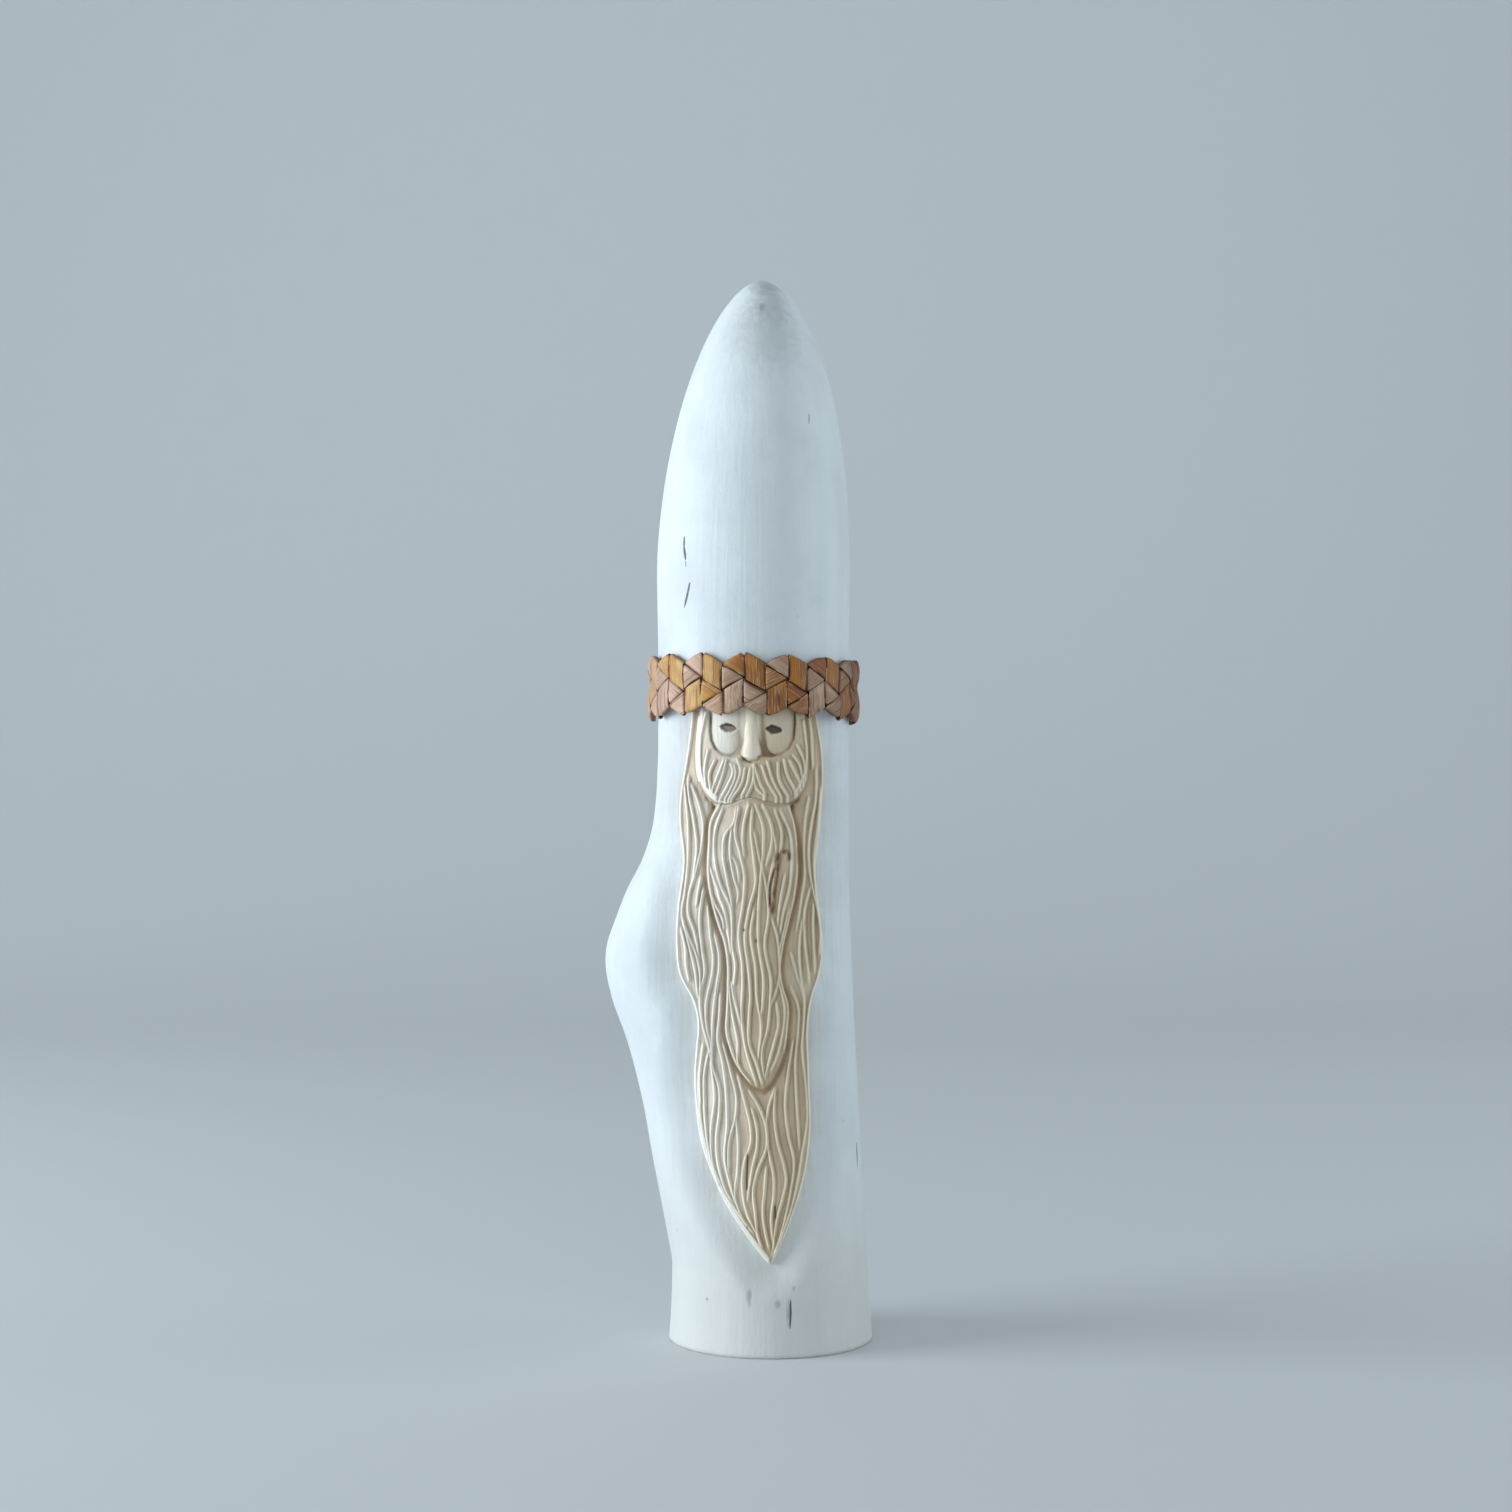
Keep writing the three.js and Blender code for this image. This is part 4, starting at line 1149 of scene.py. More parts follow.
@dataclass(frozen=True)
class BirchBark:
    """Birch bark, each face with its own tones on the figure's left and on its right, the right ones
    darker partly as painted shade.
    """

    name: str
    outer: tuple[Tone, Tone]
    inner: tuple[Tone, Tone]
    turn_from: float = -22.0
    turn_to: float = -1.0
    end_from: float = 12.0
    end_to: float = 23.0
    left_from: float = -27.0
    left_to: float = -33.0
    line: tuple = srgb(84, 38, 18)
    edge: tuple = srgb(240, 212, 166)
    red: tuple = srgb(140, 62, 30)
    hidden: tuple = srgb(92, 40, 18)
    far_left_tone: tuple = srgb(206, 172, 156)
    blushing: float = 0.5
    ridge_highlight: float = 0.42
    crack_strength: float = 0.525
    dash_strength: float = 0.85
    end_darkening: float = 0.48
    far_left_darkening: float = 0.35
    far_left_tinting: float = 0.4
    gap_shading: float = 0.9
    crack_sink: float = 1.4
    dash_sink: float = 1.0

    def material(self, effects: Effects) -> bpy.types.Material:
        """Builds the material.

        Args:
            effects: The shared effects.

        Returns:
            The material.
        """
        material, wiring, shader = new_material(self.name, 0.5)
        strip = wiring.node("UVMap", uv_map="strip").outputs[0]

        def cloud(along: float, over: float, scale: float = 1.0, detail: float = 2.0,
                  rough: float = 0.5) -> Socket:
            """A cloud squeezed along and over the strip."""
            return wiring.noise(wiring.stretch(strip, (along, over, 1.0)), scale, detail, rough)

        bands = wiring.ramp(cloud(0.1, 1.9, detail=4.0, rough=0.6), 0.3, 0.72)
        drift = wiring.ramp(cloud(0.09, 0.14), 0.35, 0.65)
        streak = wiring.scaled(drift, 0.6, wiring.times(bands, 0.5))
        across = wiring.across()
        # The right-hand tones are darker, partly the bark's own colour and partly painted shade towards
        # the figure's right.
        right = wiring.ramp(across, self.turn_from * MM, self.turn_to * MM)
        faces = []
        for left_tone, right_tone in (self.inner, self.outer):
            light = wiring.mix(right, left_tone.light, right_tone.light)
            dark = wiring.mix(right, left_tone.dark, right_tone.dark)
            faces.append(wiring.mix(streak, light, dark))
        colour = wiring.mix(wiring.ramp(wiring.mask("face"), -0.2, 0.2), *faces)
        blush = wiring.ramp(cloud(0.07, 0.3, scale=1.7, detail=3.0, rough=0.6), 0.6, 0.74)
        colour = wiring.tint(colour, self.red, blush, self.blushing)
        # Dark splits run along the bark, each with a pale line beside it, a painted highlight as on a
        # lit ridge.
        thread = cloud(0.06, 1.5, rough=0.55)
        cracks = wiring.ramp(thread, 0.605, 0.63)
        beside = wiring.times(wiring.ramp(thread, 0.56, 0.6), wiring.maths("SUBTRACT", 1.0, cracks))
        colour = wiring.tint(colour, self.edge, beside, self.ridge_highlight)
        colour = wiring.tint(colour, self.line, cracks, self.crack_strength)
        short = wiring.stretch(strip, (0.3, 1.1, 1.0))
        dashes = wiring.effect(effects.specks, Vector=short, Scale=1.0, Size=0.16, Share=0.3)
        dashes = dashes.outputs[0]
        colour = wiring.tint(colour, self.line, dashes, self.dash_strength)
        rim = wiring.maths("ADD", wiring.mask("rim"), wiring.scaled(bands, 0.12, -0.08))
        some = wiring.ramp(cloud(0.22, 0.16), 0.47, 0.56)
        pale = wiring.times(some, 0.85)
        colour = wiring.tint(colour, self.edge, wiring.ramp(rim, 0.86, 0.97), pale)
        # Dark strip edges: wear, and painted shadow where the strips lie on each other.
        wear_and_shade = wiring.scaled(some, -0.6, 0.85)
        colour = wiring.tint(colour, self.line, wiring.ramp(rim, 0.72, 1.0), wear_and_shade)
        # Darker towards the figure's right end as painted shade, and darker and paler pink at the far
        # left.
        end = wiring.ramp(across, self.end_from * MM, self.end_to * MM)
        far_left = wiring.ramp(across, self.left_from * MM, self.left_to * MM)
        end = wiring.maths("MAXIMUM", end, wiring.times(far_left, self.far_left_darkening))
        colour = wiring.tint(colour, self.line, end, self.end_darkening)
        colour = wiring.tint(colour, self.far_left_tone, far_left, self.far_left_tinting)
        # Painted shade: the strips under the top layer, seen in the gaps, are darkened.
        buried = wiring.maths("SUBTRACT", 1.0, wiring.mask("top"))
        colour = wiring.tint(colour, self.hidden, buried, self.gap_shading)
        relief = wiring.scaled(cracks, -self.crack_sink, wiring.times(bands, 0.5))
        relief = wiring.scaled(dashes, -self.dash_sink, relief)
        wiring.coat(shader, colour, relief, strength=0.5, distance=0.25)
        rough = wiring.scaled(bands, 0.15, 0.42)
        wiring.tree.links.new(rough, shader.inputs["Roughness"])
        return material


def dress(piece: bpy.types.Object, material: bpy.types.Material, slot: str, *nodes: str) -> None:
    """Gives a piece its finish and its place in the frame.

    Args:
        piece: The piece.
        material: Its finish.
        slot: The record's slot that the finish belongs to; not used.
        *nodes: The nodes that the piece stands for.
    """
    piece.data.materials.append(material)
    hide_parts(*nodes)
    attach(piece, BODY)
    log.info("%s: %d vertices for %s", piece.name, len(piece.data.vertices), ", ".join(nodes))


@dataclass
class PaintedBranch:
    """The branch with its ground scooped away beside the hair."""

    ground_depth: float = 3.6
    ground_reach: float = 11.0
    ground_facing: float = 0.7
    base_bevel: float = 0.6
    columns: int = 230
    front_crowding: float = 0.45
    row_step: float = 0.75
    hat_rows: int = 110
    wear_and_shade_reach: float = 3.2
    foot_wear: float = 0.5
    foot_wear_height: float = 2.0
    skin: float = 0.16
    knot_skin: float = 0.2
    long_waves: float = 0.08
    facets: float = 0.06

    def depth(self, angle: Array, z: Array, points: Array) -> Array:
        """How deep the ground lies under the branch's surface.

        Args:
            angle: Angles round the branch.
            z: Heights.
            points: The plain branch's points there.

        Returns:
            The depth at each place.
        """
        x, up = VIEW.seen(points)
        aside = np.maximum(-HAIR_LOOP.inside(x, up), 0.0)
        facing = smooth(np.cos(angle) / self.ground_facing)
        above = np.maximum(z - (BRANCH.crown_centre - BRANCH.crown_half), 0.0) / BRANCH.crown_half
        bowl = self.ground_depth * (1.0 - smooth(aside / self.ground_reach))
        return bowl * facing * (1.0 - smooth(above))

    def build(self) -> bpy.types.Object:
        """Makes the branch as rings from the sawn base to the tip.

        Returns:
            The branch.
        """
        trunk = np.arange(self.base_bevel, BRANCH.hat_start, self.row_step)
        share = np.sin(np.linspace(0.0, math.pi / 2.0, self.hat_rows))[:-1]
        hat = BRANCH.hat_start + BRANCH.hat_height * share
        heights = np.concatenate([[0.0], trunk, hat])
        even = np.linspace(-math.pi, math.pi, self.columns + 1)[:-1]
        angle, z = np.meshgrid(even - self.front_crowding * np.sin(even), heights)
        plain = BRANCH.surface(angle, z, np.zeros_like(z))
        depth = self.depth(angle, z, plain)
        depth = depth + np.where(z < self.base_bevel, self.base_bevel, 0.0)
        points = BRANCH.surface(angle, z, depth + self.unevenness(angle, z))
        x, up = VIEW.seen(points)
        # Worn paint near the carving, with painted shade from the scoop's wall there, and worn paint at
        # the foot.
        front = np.cos(angle) > 0.0
        near = np.exp(-np.maximum(-HAIR_LOOP.inside(x, up), 0.0) / self.wear_and_shade_reach)
        wear_and_shade = np.where(front, near, 0.0) + self.foot_wear * np.exp(-z / self.foot_wear_height)
        return ringed_mesh("painted_branch", Skin(points, {"wear_and_shade": wear_and_shade}))

    def unevenness(self, angle: Array, z: Array) -> Array:
        """The slight waves that a knife leaves, all of them under the branch's surface.

        Args:
            angle: Angles round the branch.
            z: Heights.

        Returns:
            Their depth at each place.
        """
        long = ripple(3, 24.0, 90.0)(z + 9.0 * np.sin(2.0 * angle))
        facet = np.cos(angle * 3.0 + 0.02 * z)
        facet = facet * ripple(5, 1.2, 3.5)(angle * 3.0 / math.pi + 0.004 * z)
        bulge = BRANCH.knot(z) / BRANCH.knot_standout
        skin = self.skin + self.knot_skin * bulge
        return skin + self.long_waves * long + self.facets * facet


@dataclass
class CarvedTier:
    """One tier of the relief, as a skin over the front of the branch that sinks at its edge."""

    name: str
    crest_depth: float
    hollow_depth: float
    wall_drop: float
    wall_width: float = 0.8
    wall_start: float = 0.25
    margin: float = 0.95
    most_slant: float = 1.9
    lean_reach: float = 0.5
    back_columns: int = 6

    def wall(self, inside: Array) -> Array:
        """How far the surface has dropped at its edge, by the way inside the outline."""
        return self.wall_drop * smooth((self.wall_start - inside) / self.wall_width)

    def build(self) -> bpy.types.Object:
        """Makes the tier from its laid out rows and its surface.

        Returns:
            The tier.
        """
        x, z = self.layout()
        depth, masks = self.carve(x, z)
        points = VIEW.place(BRANCH, x, z, depth)
        upward = {mask: values[::-1] for mask, values in masks.items()}
        return ringed_mesh(self.name, Skin(points[::-1], upward), self.back_columns)

    def layout(self) -> tuple[Array, Array]:
        """The rows of places in the front view, from the top down.

        Returns:
            The places across and the places up.
        """
        raise NotImplementedError

    def carve(self, x: Array, z: Array) -> tuple[Array, dict[str, Array]]:
        """The depth under the branch's surface at each place, and the finish's masks.

        Args:
            x: Places across in the front view.
            z: Places up in the front view.

        Returns:
            The depths, and the masks by name.
        """
        raise NotImplementedError

    def hanging_rows(
        self, left: Points, right: Points, columns: int, step: float
    ) -> tuple[Array, Array]:
        """Lays rows across a tier that hangs between two sides and ends in a tip.

        Args:
            left: Its left side, from the top down.
            right: Its right side, from the top down.
            columns: How many places each row gets.
            step: The way between two rows.

        Returns:
            The places across and up, in rows from the top down.
        """
        top, tip = left[0][1], left[-1][1]
        rows = np.append(np.arange(top, tip - self.margin, -step), tip - self.margin)
        edges = []
        for side, points in ((-1.0, left), (1.0, right)):
            line = falling(points)
            longer = np.minimum(slant(line, rows, self.lean_reach), self.most_slant)
            edges.append(line(rows) + side * self.margin * longer)
        share = np.linspace(0.0, 1.0, columns)[None, :]
        x = edges[0][:, None] * (1.0 - share) + edges[1][:, None] * share
        return x, np.broadcast_to(rows[:, None], x.shape).copy()


def grown_in(x: Array, z: Array) -> Array:
    """The bark that the wood has grown round."""
    bark = np.zeros(x.shape)
    for line, half, strength in BARK_STREAKS:
        bark = np.maximum(bark, strength * bell(from_line(x, z, rounded(line)), half))
    return bark


def slits(x: Array, z: Array) -> Array:
    """The slits and pits that the knife met in the wood.

    Args:
        x: Places across in the front view.
        z: Places up in the front view.

    Returns:
        How deep they are at each place, from 0 to 1.
    """
    deep = np.zeros(x.shape)
    for slit in SLITS:
        deep = np.maximum(deep, SLIT_STRENGTH * bell(from_line(x, z, slit), SLIT_HALF))
    for px, pz in PITS:
        deep = np.maximum(deep, bell(np.hypot(x - px, (z - pz) * PIT_SQUASH), PIT_HALF))
    return deep


def washes(x: Array, z: Array) -> Array:
    """Patches where more of the brown wash has stayed."""
    wash = np.zeros(x.shape)
    for centre_x, centre_z, half_x, half_z, strength in WASHES:
        away = ((x - centre_x) / half_x) ** 2 + ((z - centre_z) / half_z) ** 2
        wash = np.maximum(wash, strength * np.exp(-away))
    return wash


@dataclass
class Hair(CarvedTier):
    """The hair down both sides, which runs on below into the long beard's point."""

    name: str = "hair_and_long_beard"
    crest_depth: float = 1.15
    hollow_depth: float = 1.15
    wall_drop: float = 3.2
    columns: int = 285
    row_step: float = 0.5
    rim_inside: float = 0.7
    rim_half: float = 0.55
    rim_below: float = 95.0
    painted_edge: float = 0.8
    painted_below: float = 130.0
    foot_below: float = 84.0
    foot_left: float = -2.5
    beard_shade: float = 1.5
    bib_shade: float = 1.3
    bib_share: float = 0.9
    undercut: float = 0.5
    hollow_sink: float = 1.2
    hollow_squash: float = 0.8
    hollow_dark: float = 0.75
    rim_height: float = 0.9
    rim_right: float = 0.45
    foot_off: float = 0.75
    foot_half: float = 0.55
    foot_dark: float = 0.85
    foot_fade: float = 0.5
    strands: Strands = Strands((HAIR_LEFT, HAIR_RIGHT, *HAIR_LINES))

    def layout(self) -> tuple[Array, Array]:
        """Rows across the whole of the hair."""
        return self.hanging_rows(HAIR_LEFT, HAIR_RIGHT, self.columns, self.row_step)

    def carve(self, x: Array, z: Array) -> tuple[Array, dict[str, Array]]:
        """Locks, sunk a little deeper beside the tiers that lie on them, with painted shade there."""
        locks = self.strands.carve(x, z)
        inside = HAIR_LOOP.inside(x, z)
        on_beard, on_bib = BEARD_LOOP.inside(x, z), BIB_LOOP.inside(x, z)
        under = np.exp(np.minimum(on_beard, 0.0) / self.beard_shade)
        beside_bib = self.bib_share * np.exp(np.minimum(on_bib, 0.0) / self.bib_shade)
        under = np.maximum(under, beside_bib)
        hollow = np.zeros(x.shape)
        for hollow_x, hollow_z, reach in HOLLOWS:
            away = np.hypot(x - hollow_x, (z - hollow_z) * self.hollow_squash)
            hollow = np.maximum(hollow, bell(away, reach))
        rim = bell(inside - self.rim_inside, self.rim_half, 4)
        rim = rim * smooth((self.rim_below - z) / 30.0) * np.where(x < TIP_X, 1.0, self.rim_right)
        height = np.maximum(locks.height, self.rim_height * rim)
        low = 1.0 - height
        depth = self.crest_depth + self.hollow_depth * low + self.undercut * under * low
        depth = depth + self.hollow_sink * hollow + self.wall(inside)
        below = z < BEARD_LEFT[-1][1]
        # Painted shadow of the beard's wall: a dark line on the hair beside it, fainter low on the
        # left.
        far_left_tone = self.foot_fade * smooth((self.foot_below - z) / 5.0) * (x < self.foot_left)
        foot = bell(on_beard + self.foot_off, self.foot_half) * (self.foot_dark - far_left_tone)
        covered = self.painted_edge * smooth((self.painted_below - z) / 8.0) * (x < TIP_X)
        masks = {
            "height": height,
            "crest": np.maximum(locks.crest, self.rim_height * rim),
            "groove": np.maximum(locks.groove * (1.0 - rim), foot),
            # Painted shade beside the beard and the moustache, with the wash patches.
            "stain_and_shade": np.clip(under * 1.1 + washes(x, z), 0.0, 1.0),
            # Slits and pits low down, and the hollows beside the moustache darkened as wash with
            # painted shade.
            "deep": np.maximum(np.where(below, slits(x, z), 0.0), self.hollow_dark * hollow),
            "bark": np.zeros(x.shape),
            "paint": smooth((0.35 + covered - inside) / 0.6),
        }
        return depth, masks


@dataclass
class MiddleBeard(CarvedTier):
    """The middle beard, which lies on the hair and under the moustache."""

    name: str = "middle_beard"
    crest_depth: float = 0.35
    hollow_depth: float = 0.95
    wall_drop: float = 2.4
    columns: int = 190
    row_step: float = 0.42
    tuck: float = 1.7
    bib_shade: float = 0.5
    root_reach: float = 0.6
    rounding: float = 0.6
    rounding_reach: float = 3.5
    seam: float = 0.8
    bib_shadow_off: float = 0.45
    bib_shadow_half: float = 0.4
    bib_shadow_right: float = -4.5
    plain_below: float = 82.0
    bark_sink: float = 0.3
    slit_sink: float = 0.5
    halo_half: float = 1.3
    strands: Strands = Strands((shifted(BEARD_LEFT[:-3], 0.4), BEARD_RIGHT[:-3], *BEARD_LINES), 2)

    def layout(self) -> tuple[Array, Array]:
        """Rows across the beard."""
        return self.hanging_rows(BEARD_LEFT, BEARD_RIGHT, self.columns, self.row_step)

    def carve(self, x: Array, z: Array) -> tuple[Array, dict[str, Array]]:
        """Locks on a gently rounded beard, with the ingrown bark on its right and painted shade under
        the moustache.
        """
        locks = self.strands.carve(x, z)
        inside = BEARD_LOOP.inside(x, z)
        on_bib = BIB_LOOP.inside(x, z)
        under = np.exp(np.minimum(on_bib, 0.0) / self.bib_shade)
        root = np.exp(np.minimum(on_bib, 0.0) / self.root_reach)
        rounding = self.rounding * (1.0 - smooth(inside / self.rounding_reach))
        # Painted shadow: a dark line on the beard under the moustache's lower edge, fainter on the
        # left.
        seam = self.seam * bell(on_bib + self.bib_shadow_off, self.bib_shadow_half)
        seam = seam * (0.4 + 0.6 * smooth((x - self.bib_shadow_right) / 3.0))
        low = (1.0 - locks.height) * (1.0 - 0.6 * root)
        tucked = self.tuck * smooth((on_bib + 0.25) / 0.8)
        bark = grown_in(x, z)
        deep = np.where(z > BEARD_LEFT[-1][1], slits(x, z), 0.0)
        depth = self.crest_depth + rounding + self.hollow_depth * low + tucked
        depth = depth + self.wall(inside) + self.bark_sink * bark + self.slit_sink * deep
        halo = bell(from_line(x, z, BARK_STREAKS[STREAK_HALO][0]), self.halo_half)
        rimmed = 0.35 + 0.5 * smooth((self.plain_below - z) / 4.0)
        edge = rimmed * (1.0 - smooth(inside / 2.0))
        masks = {
            "height": 1.0 - low,
            "crest": locks.crest * (1.0 - 0.5 * root),
            "groove": np.maximum(locks.groove * (1.0 - root), seam),
            # Painted shade beside the moustache, with wash along the edge, round the bark and in
            # patches.
            "stain_and_shade": np.clip(0.5 * under + edge + halo + washes(x, z), 0.0, 1.0),
            "deep": deep,
            "bark": bark,
            "paint": np.zeros(x.shape),
        }
        return depth, masks


@dataclass
class FaceAndMoustache(CarvedTier):
    """The face under the crown, with the moustache and the upper beard round it."""

    name: str = "face_and_moustache"
    crest_depth: float = 0.1
    hollow_depth: float = 0.75
    wall_drop: float = 2.3
    columns: int = 270
    rows: int = 215
    floor_depth: float = 2.5
    cheek_rise: float = 1.55
    cheek_half: float = 4.15
    cheek_tall: float = 7.2
    cheek_z: float = 172.3
    left_cheek_x: float = -12.75
    right_cheek_x: float = 2.1
    nose_x: float = -5.45
    nose_bottom: float = 163.4
    nose_wing: float = 3.0
    nose_bridge: float = 2.05
    nose_rise: float = 2.45
    brow_from: float = 166.5
    brow_to: float = 175.5
    brow_rise: float = 1.4
    eye_half: float = 2.6
    eye_tall: float = 1.42
    eye_sink: float = 0.85
    lid_drop: float = 2.1
    left_eye: tuple[float, float] = (-11.7, 172.8)
    right_eye: tuple[float, float] = (0.7, 172.3)
    nostrils: Points = ((-7.3, 164.2), (-3.3, 164.7))
    # Creases beside the nose: a line and the strength of its painted shade.
    creases: Sequence = (
        (((-8.6, 177), (-8.8, 171.5), (-8.6, 167.5), (-8.3, 165)), 0.26),
        (((-2.4, 177), (-2.3, 171.5), (-2, 168), (-2.3, 165)), 0.55),
    )
    crease_half: float = 0.65
    rim_inside: float = 0.75
    rim_half: float = 0.62
    rim_up_to: float = -13.5
    seam: float = 0.85
    face_right_shade: float = 0.5
    face_dim: float = 0.09
    wall_shade_below: float = 158.0
    open_from: float = 0.25
    open_width: float = 0.7
    rim_height: float = 0.92
    lid_rise: float = 0.18
    outline_off: float = 0.3
    outline_half: float = 0.38
    outline_below: float = 178.5
    outline_dark: float = 0.34
    outline_left: float = 0.5
    outline_sink: float = 0.35
    crease_sink: float = 0.4
    nostril_half: float = 0.55
    nostril_squash: float = 1.4
    edge_columns: int = 12
    strands: Strands = Strands(
        (BIB_SIDES[1:8], *BIB_LINES), 3, flank=0.4, flank_spread=1.5, fade=1.0, overrun=2.2
    )

    def layout(self) -> tuple[Array, Array]:
        """Rows that bow from the straight top to the lobed edge below."""
        edge = rounded(BIB_SIDES, self.edge_columns)
        step = np.gradient(edge, axis=0)
        normal = np.stack([step[:, 1], -step[:, 0]], axis=-1)
        normal = normal / np.linalg.norm(normal, axis=1)[:, None]
        edge = edge + self.margin * normal
        sides = 2 * self.edge_columns
        left, bottom, right = edge[: sides + 1], edge[sides:-sides], edge[-sides - 1:][::-1]

        def along(line: Array, shares: Array) -> Array:
            """Places spread evenly along a line."""
            way = np.concatenate([[0.0], np.cumsum(np.hypot(*np.diff(line, axis=0).T))])
            at = shares * way[-1]
            return np.stack([np.interp(at, way, line[:, 0]), np.interp(at, way, line[:, 1])], -1)

        u = np.linspace(0.0, 1.0, self.columns)
        v = np.linspace(0.0, 1.0, self.rows)
        low, one, other = along(bottom, u)[None], along(left, v)[:, None], along(right, v)[:, None]
        corner, far = edge[0], edge[-1]
        high = (corner + (far - corner) * u[:, None])[None]
        across, down = u[None, :, None], v[:, None, None]
        mixed = (1 - across) * (1 - down) * corner + across * (1 - down) * far
        mixed = mixed + (1 - across) * down * bottom[0] + across * down * bottom[-1]
        places = (1 - down) * high + down * low + (1 - across) * one + across * other - mixed
        return places[..., 0], places[..., 1]

    def carve(self, x: Array, z: Array) -> tuple[Array, dict[str, Array]]:
        """Moustache locks round a sunk face with cheeks, a nose and hollow eyes, and painted light and
        shade on the face.
        """
        locks = self.strands.carve(x, z)
        inside = BIB_LOOP.inside(x, z)
        face = FACE_LOOP.inside(x, z)
        rim = bell(inside - self.rim_inside, self.rim_half, 4)
        rim = rim * smooth((self.rim_up_to - x) / 2.5)
        height = np.maximum(locks.height, self.rim_height * rim)
        rounding = 0.55 * (1.0 - smooth(inside / 2.6))
        beard = self.crest_depth + rounding + self.hollow_depth * (1.0 - height)
        open_face = smooth((face + self.open_from) / self.open_width)
        depth = beard * (1.0 - open_face) + self.floor_depth * open_face
        swell = np.zeros(x.shape)
        for cheek_x in (self.left_cheek_x, self.right_cheek_x):
            away = (np.abs(x - cheek_x) / self.cheek_half) ** 2.5
            away = away + (np.abs(np.minimum(z - self.cheek_z, 0.0)) / self.cheek_tall) ** 2.5
            swell = np.maximum(swell, self.cheek_rise * np.maximum(1.0 - away, 0.0) ** 0.42)
        between = smooth((x - self.left_cheek_x) / 2.0) * smooth((self.right_cheek_x - x) / 2.0)
        brow = self.brow_rise * smooth((z - self.brow_from) / (self.brow_to - self.brow_from)) * between
        rise = np.maximum(np.maximum(swell, self.nose(x, z)), brow)
        depth = depth - rise * open_face
        eye, upper, lid = self.eyes(x, z)
        depth = depth + self.eye_sink * eye - self.lid_rise * lid + self.wall(inside)
        # Painted shade where the face's floor lies low, round its outline and in the creases beside the
        # nose, stronger right of the nose.
        groove = open_face * (1.0 - smooth(rise / 0.75))
        outline = bell(face - self.outline_off, self.outline_half)
        outline = outline * smooth((self.outline_below - z) / 3.0)
        far_left = smooth((self.left_cheek_x - 1.0 - x) / 2.0)
        outline = outline * (self.outline_dark + self.outline_left * far_left)
        outline = outline * (0.8 + 0.2 * ripple(31, 3.0, 9.0)(x + z))
        crease = np.zeros(x.shape)
        for line, strength in self.creases:
            away = from_line(x, z, rounded(line))
            crease = np.maximum(crease, strength * bell(away, self.crease_half))
        groove = np.where(x < self.nose_x, 0.3, 0.6) * groove
        groove = np.maximum(groove, np.maximum(outline, crease))
        depth = depth + self.outline_sink * outline + self.crease_sink * crease
        nostril = np.zeros(x.shape)
        for nostril_x, nostril_z in self.nostrils:
            away = np.hypot(x - nostril_x, (z - nostril_z) * self.nostril_squash)
            nostril = np.maximum(nostril, bell(away, self.nostril_half))
        # The eyes are dark, darkest under their upper rims as painted shadow.
        iris = eye * np.where(x < self.nose_x, 0.72 + 0.26 * upper, 0.92 + 0.06 * upper)
        # Painted shade right of the nose, and a faint painted dimming of the face's floor apart from
        # the nose.
        lit = 1.0 - self.face_right_shade * smooth((x - self.nose_x - 1.5) / 2.0)
        dim = self.face_dim * open_face * (1.0 - smooth(self.nose(x, z)))
        # Painted shade on the moustache's lower wall.
        seam = self.seam * bell(inside + 0.1, 0.35) * (z < self.wall_shade_below)
        on_face = face > 0.0
        # Painted highlights on the lit part of the face and on the lower lids.
        pale = 0.3 * lit * (1.0 - groove) + 0.3 * lid
        cut = np.maximum(locks.groove * (1.0 - rim), seam)
        # Painted shade in the nostrils, with the dark eyes and the faint dimming, for the deep mask.
        dark = np.maximum(np.maximum(iris, 0.8 * nostril * open_face), dim)
        masks = {
            "height": np.where(on_face, lit - 0.75 * groove, height),
            "crest": np.where(on_face, pale, np.maximum(locks.crest, rim)),
            "groove": np.where(on_face, 1.4 * groove, cut),
            "stain_and_shade": 0.55 * groove,
            "deep": np.clip(dark, 0.0, 1.0),
            "bark": np.zeros(x.shape),
            "paint": np.zeros(x.shape),
        }
        return depth, masks

    def eyes(self, x: Array, z: Array) -> tuple[Array, Array, Array]:
        """Hollow eyes.

        Args:
            x: Places across in the front view.
            z: Places up in the front view.

        Returns:
            The hollows, the shadow under their upper rims, and the lower lids, which get a painted
            highlight.
        """
        eye, upper, lid = np.zeros(x.shape), np.zeros(x.shape), np.zeros(x.shape)
        for (eye_x, eye_z), tilt in ((self.left_eye, -0.12), (self.right_eye, -0.1)):
            up = z - eye_z - tilt * (x - eye_x)
            span = np.maximum(1.0 - (np.abs(x - eye_x) / self.eye_half) ** 2.1, 0.0)
            open_half = self.eye_tall * span * (1.0 + 0.14 * ripple(33, 0.9, 3.0)(x))
            eye = np.maximum(eye, smooth((open_half - np.abs(up)) / 0.5))
            upper = np.maximum(upper, smooth((up - 0.1) / 0.6) * (np.abs(up) < open_half))
            lid = np.maximum(lid, bell(up + open_half + 0.45, 0.4) * (span > 0.05))
        return eye, upper, lid

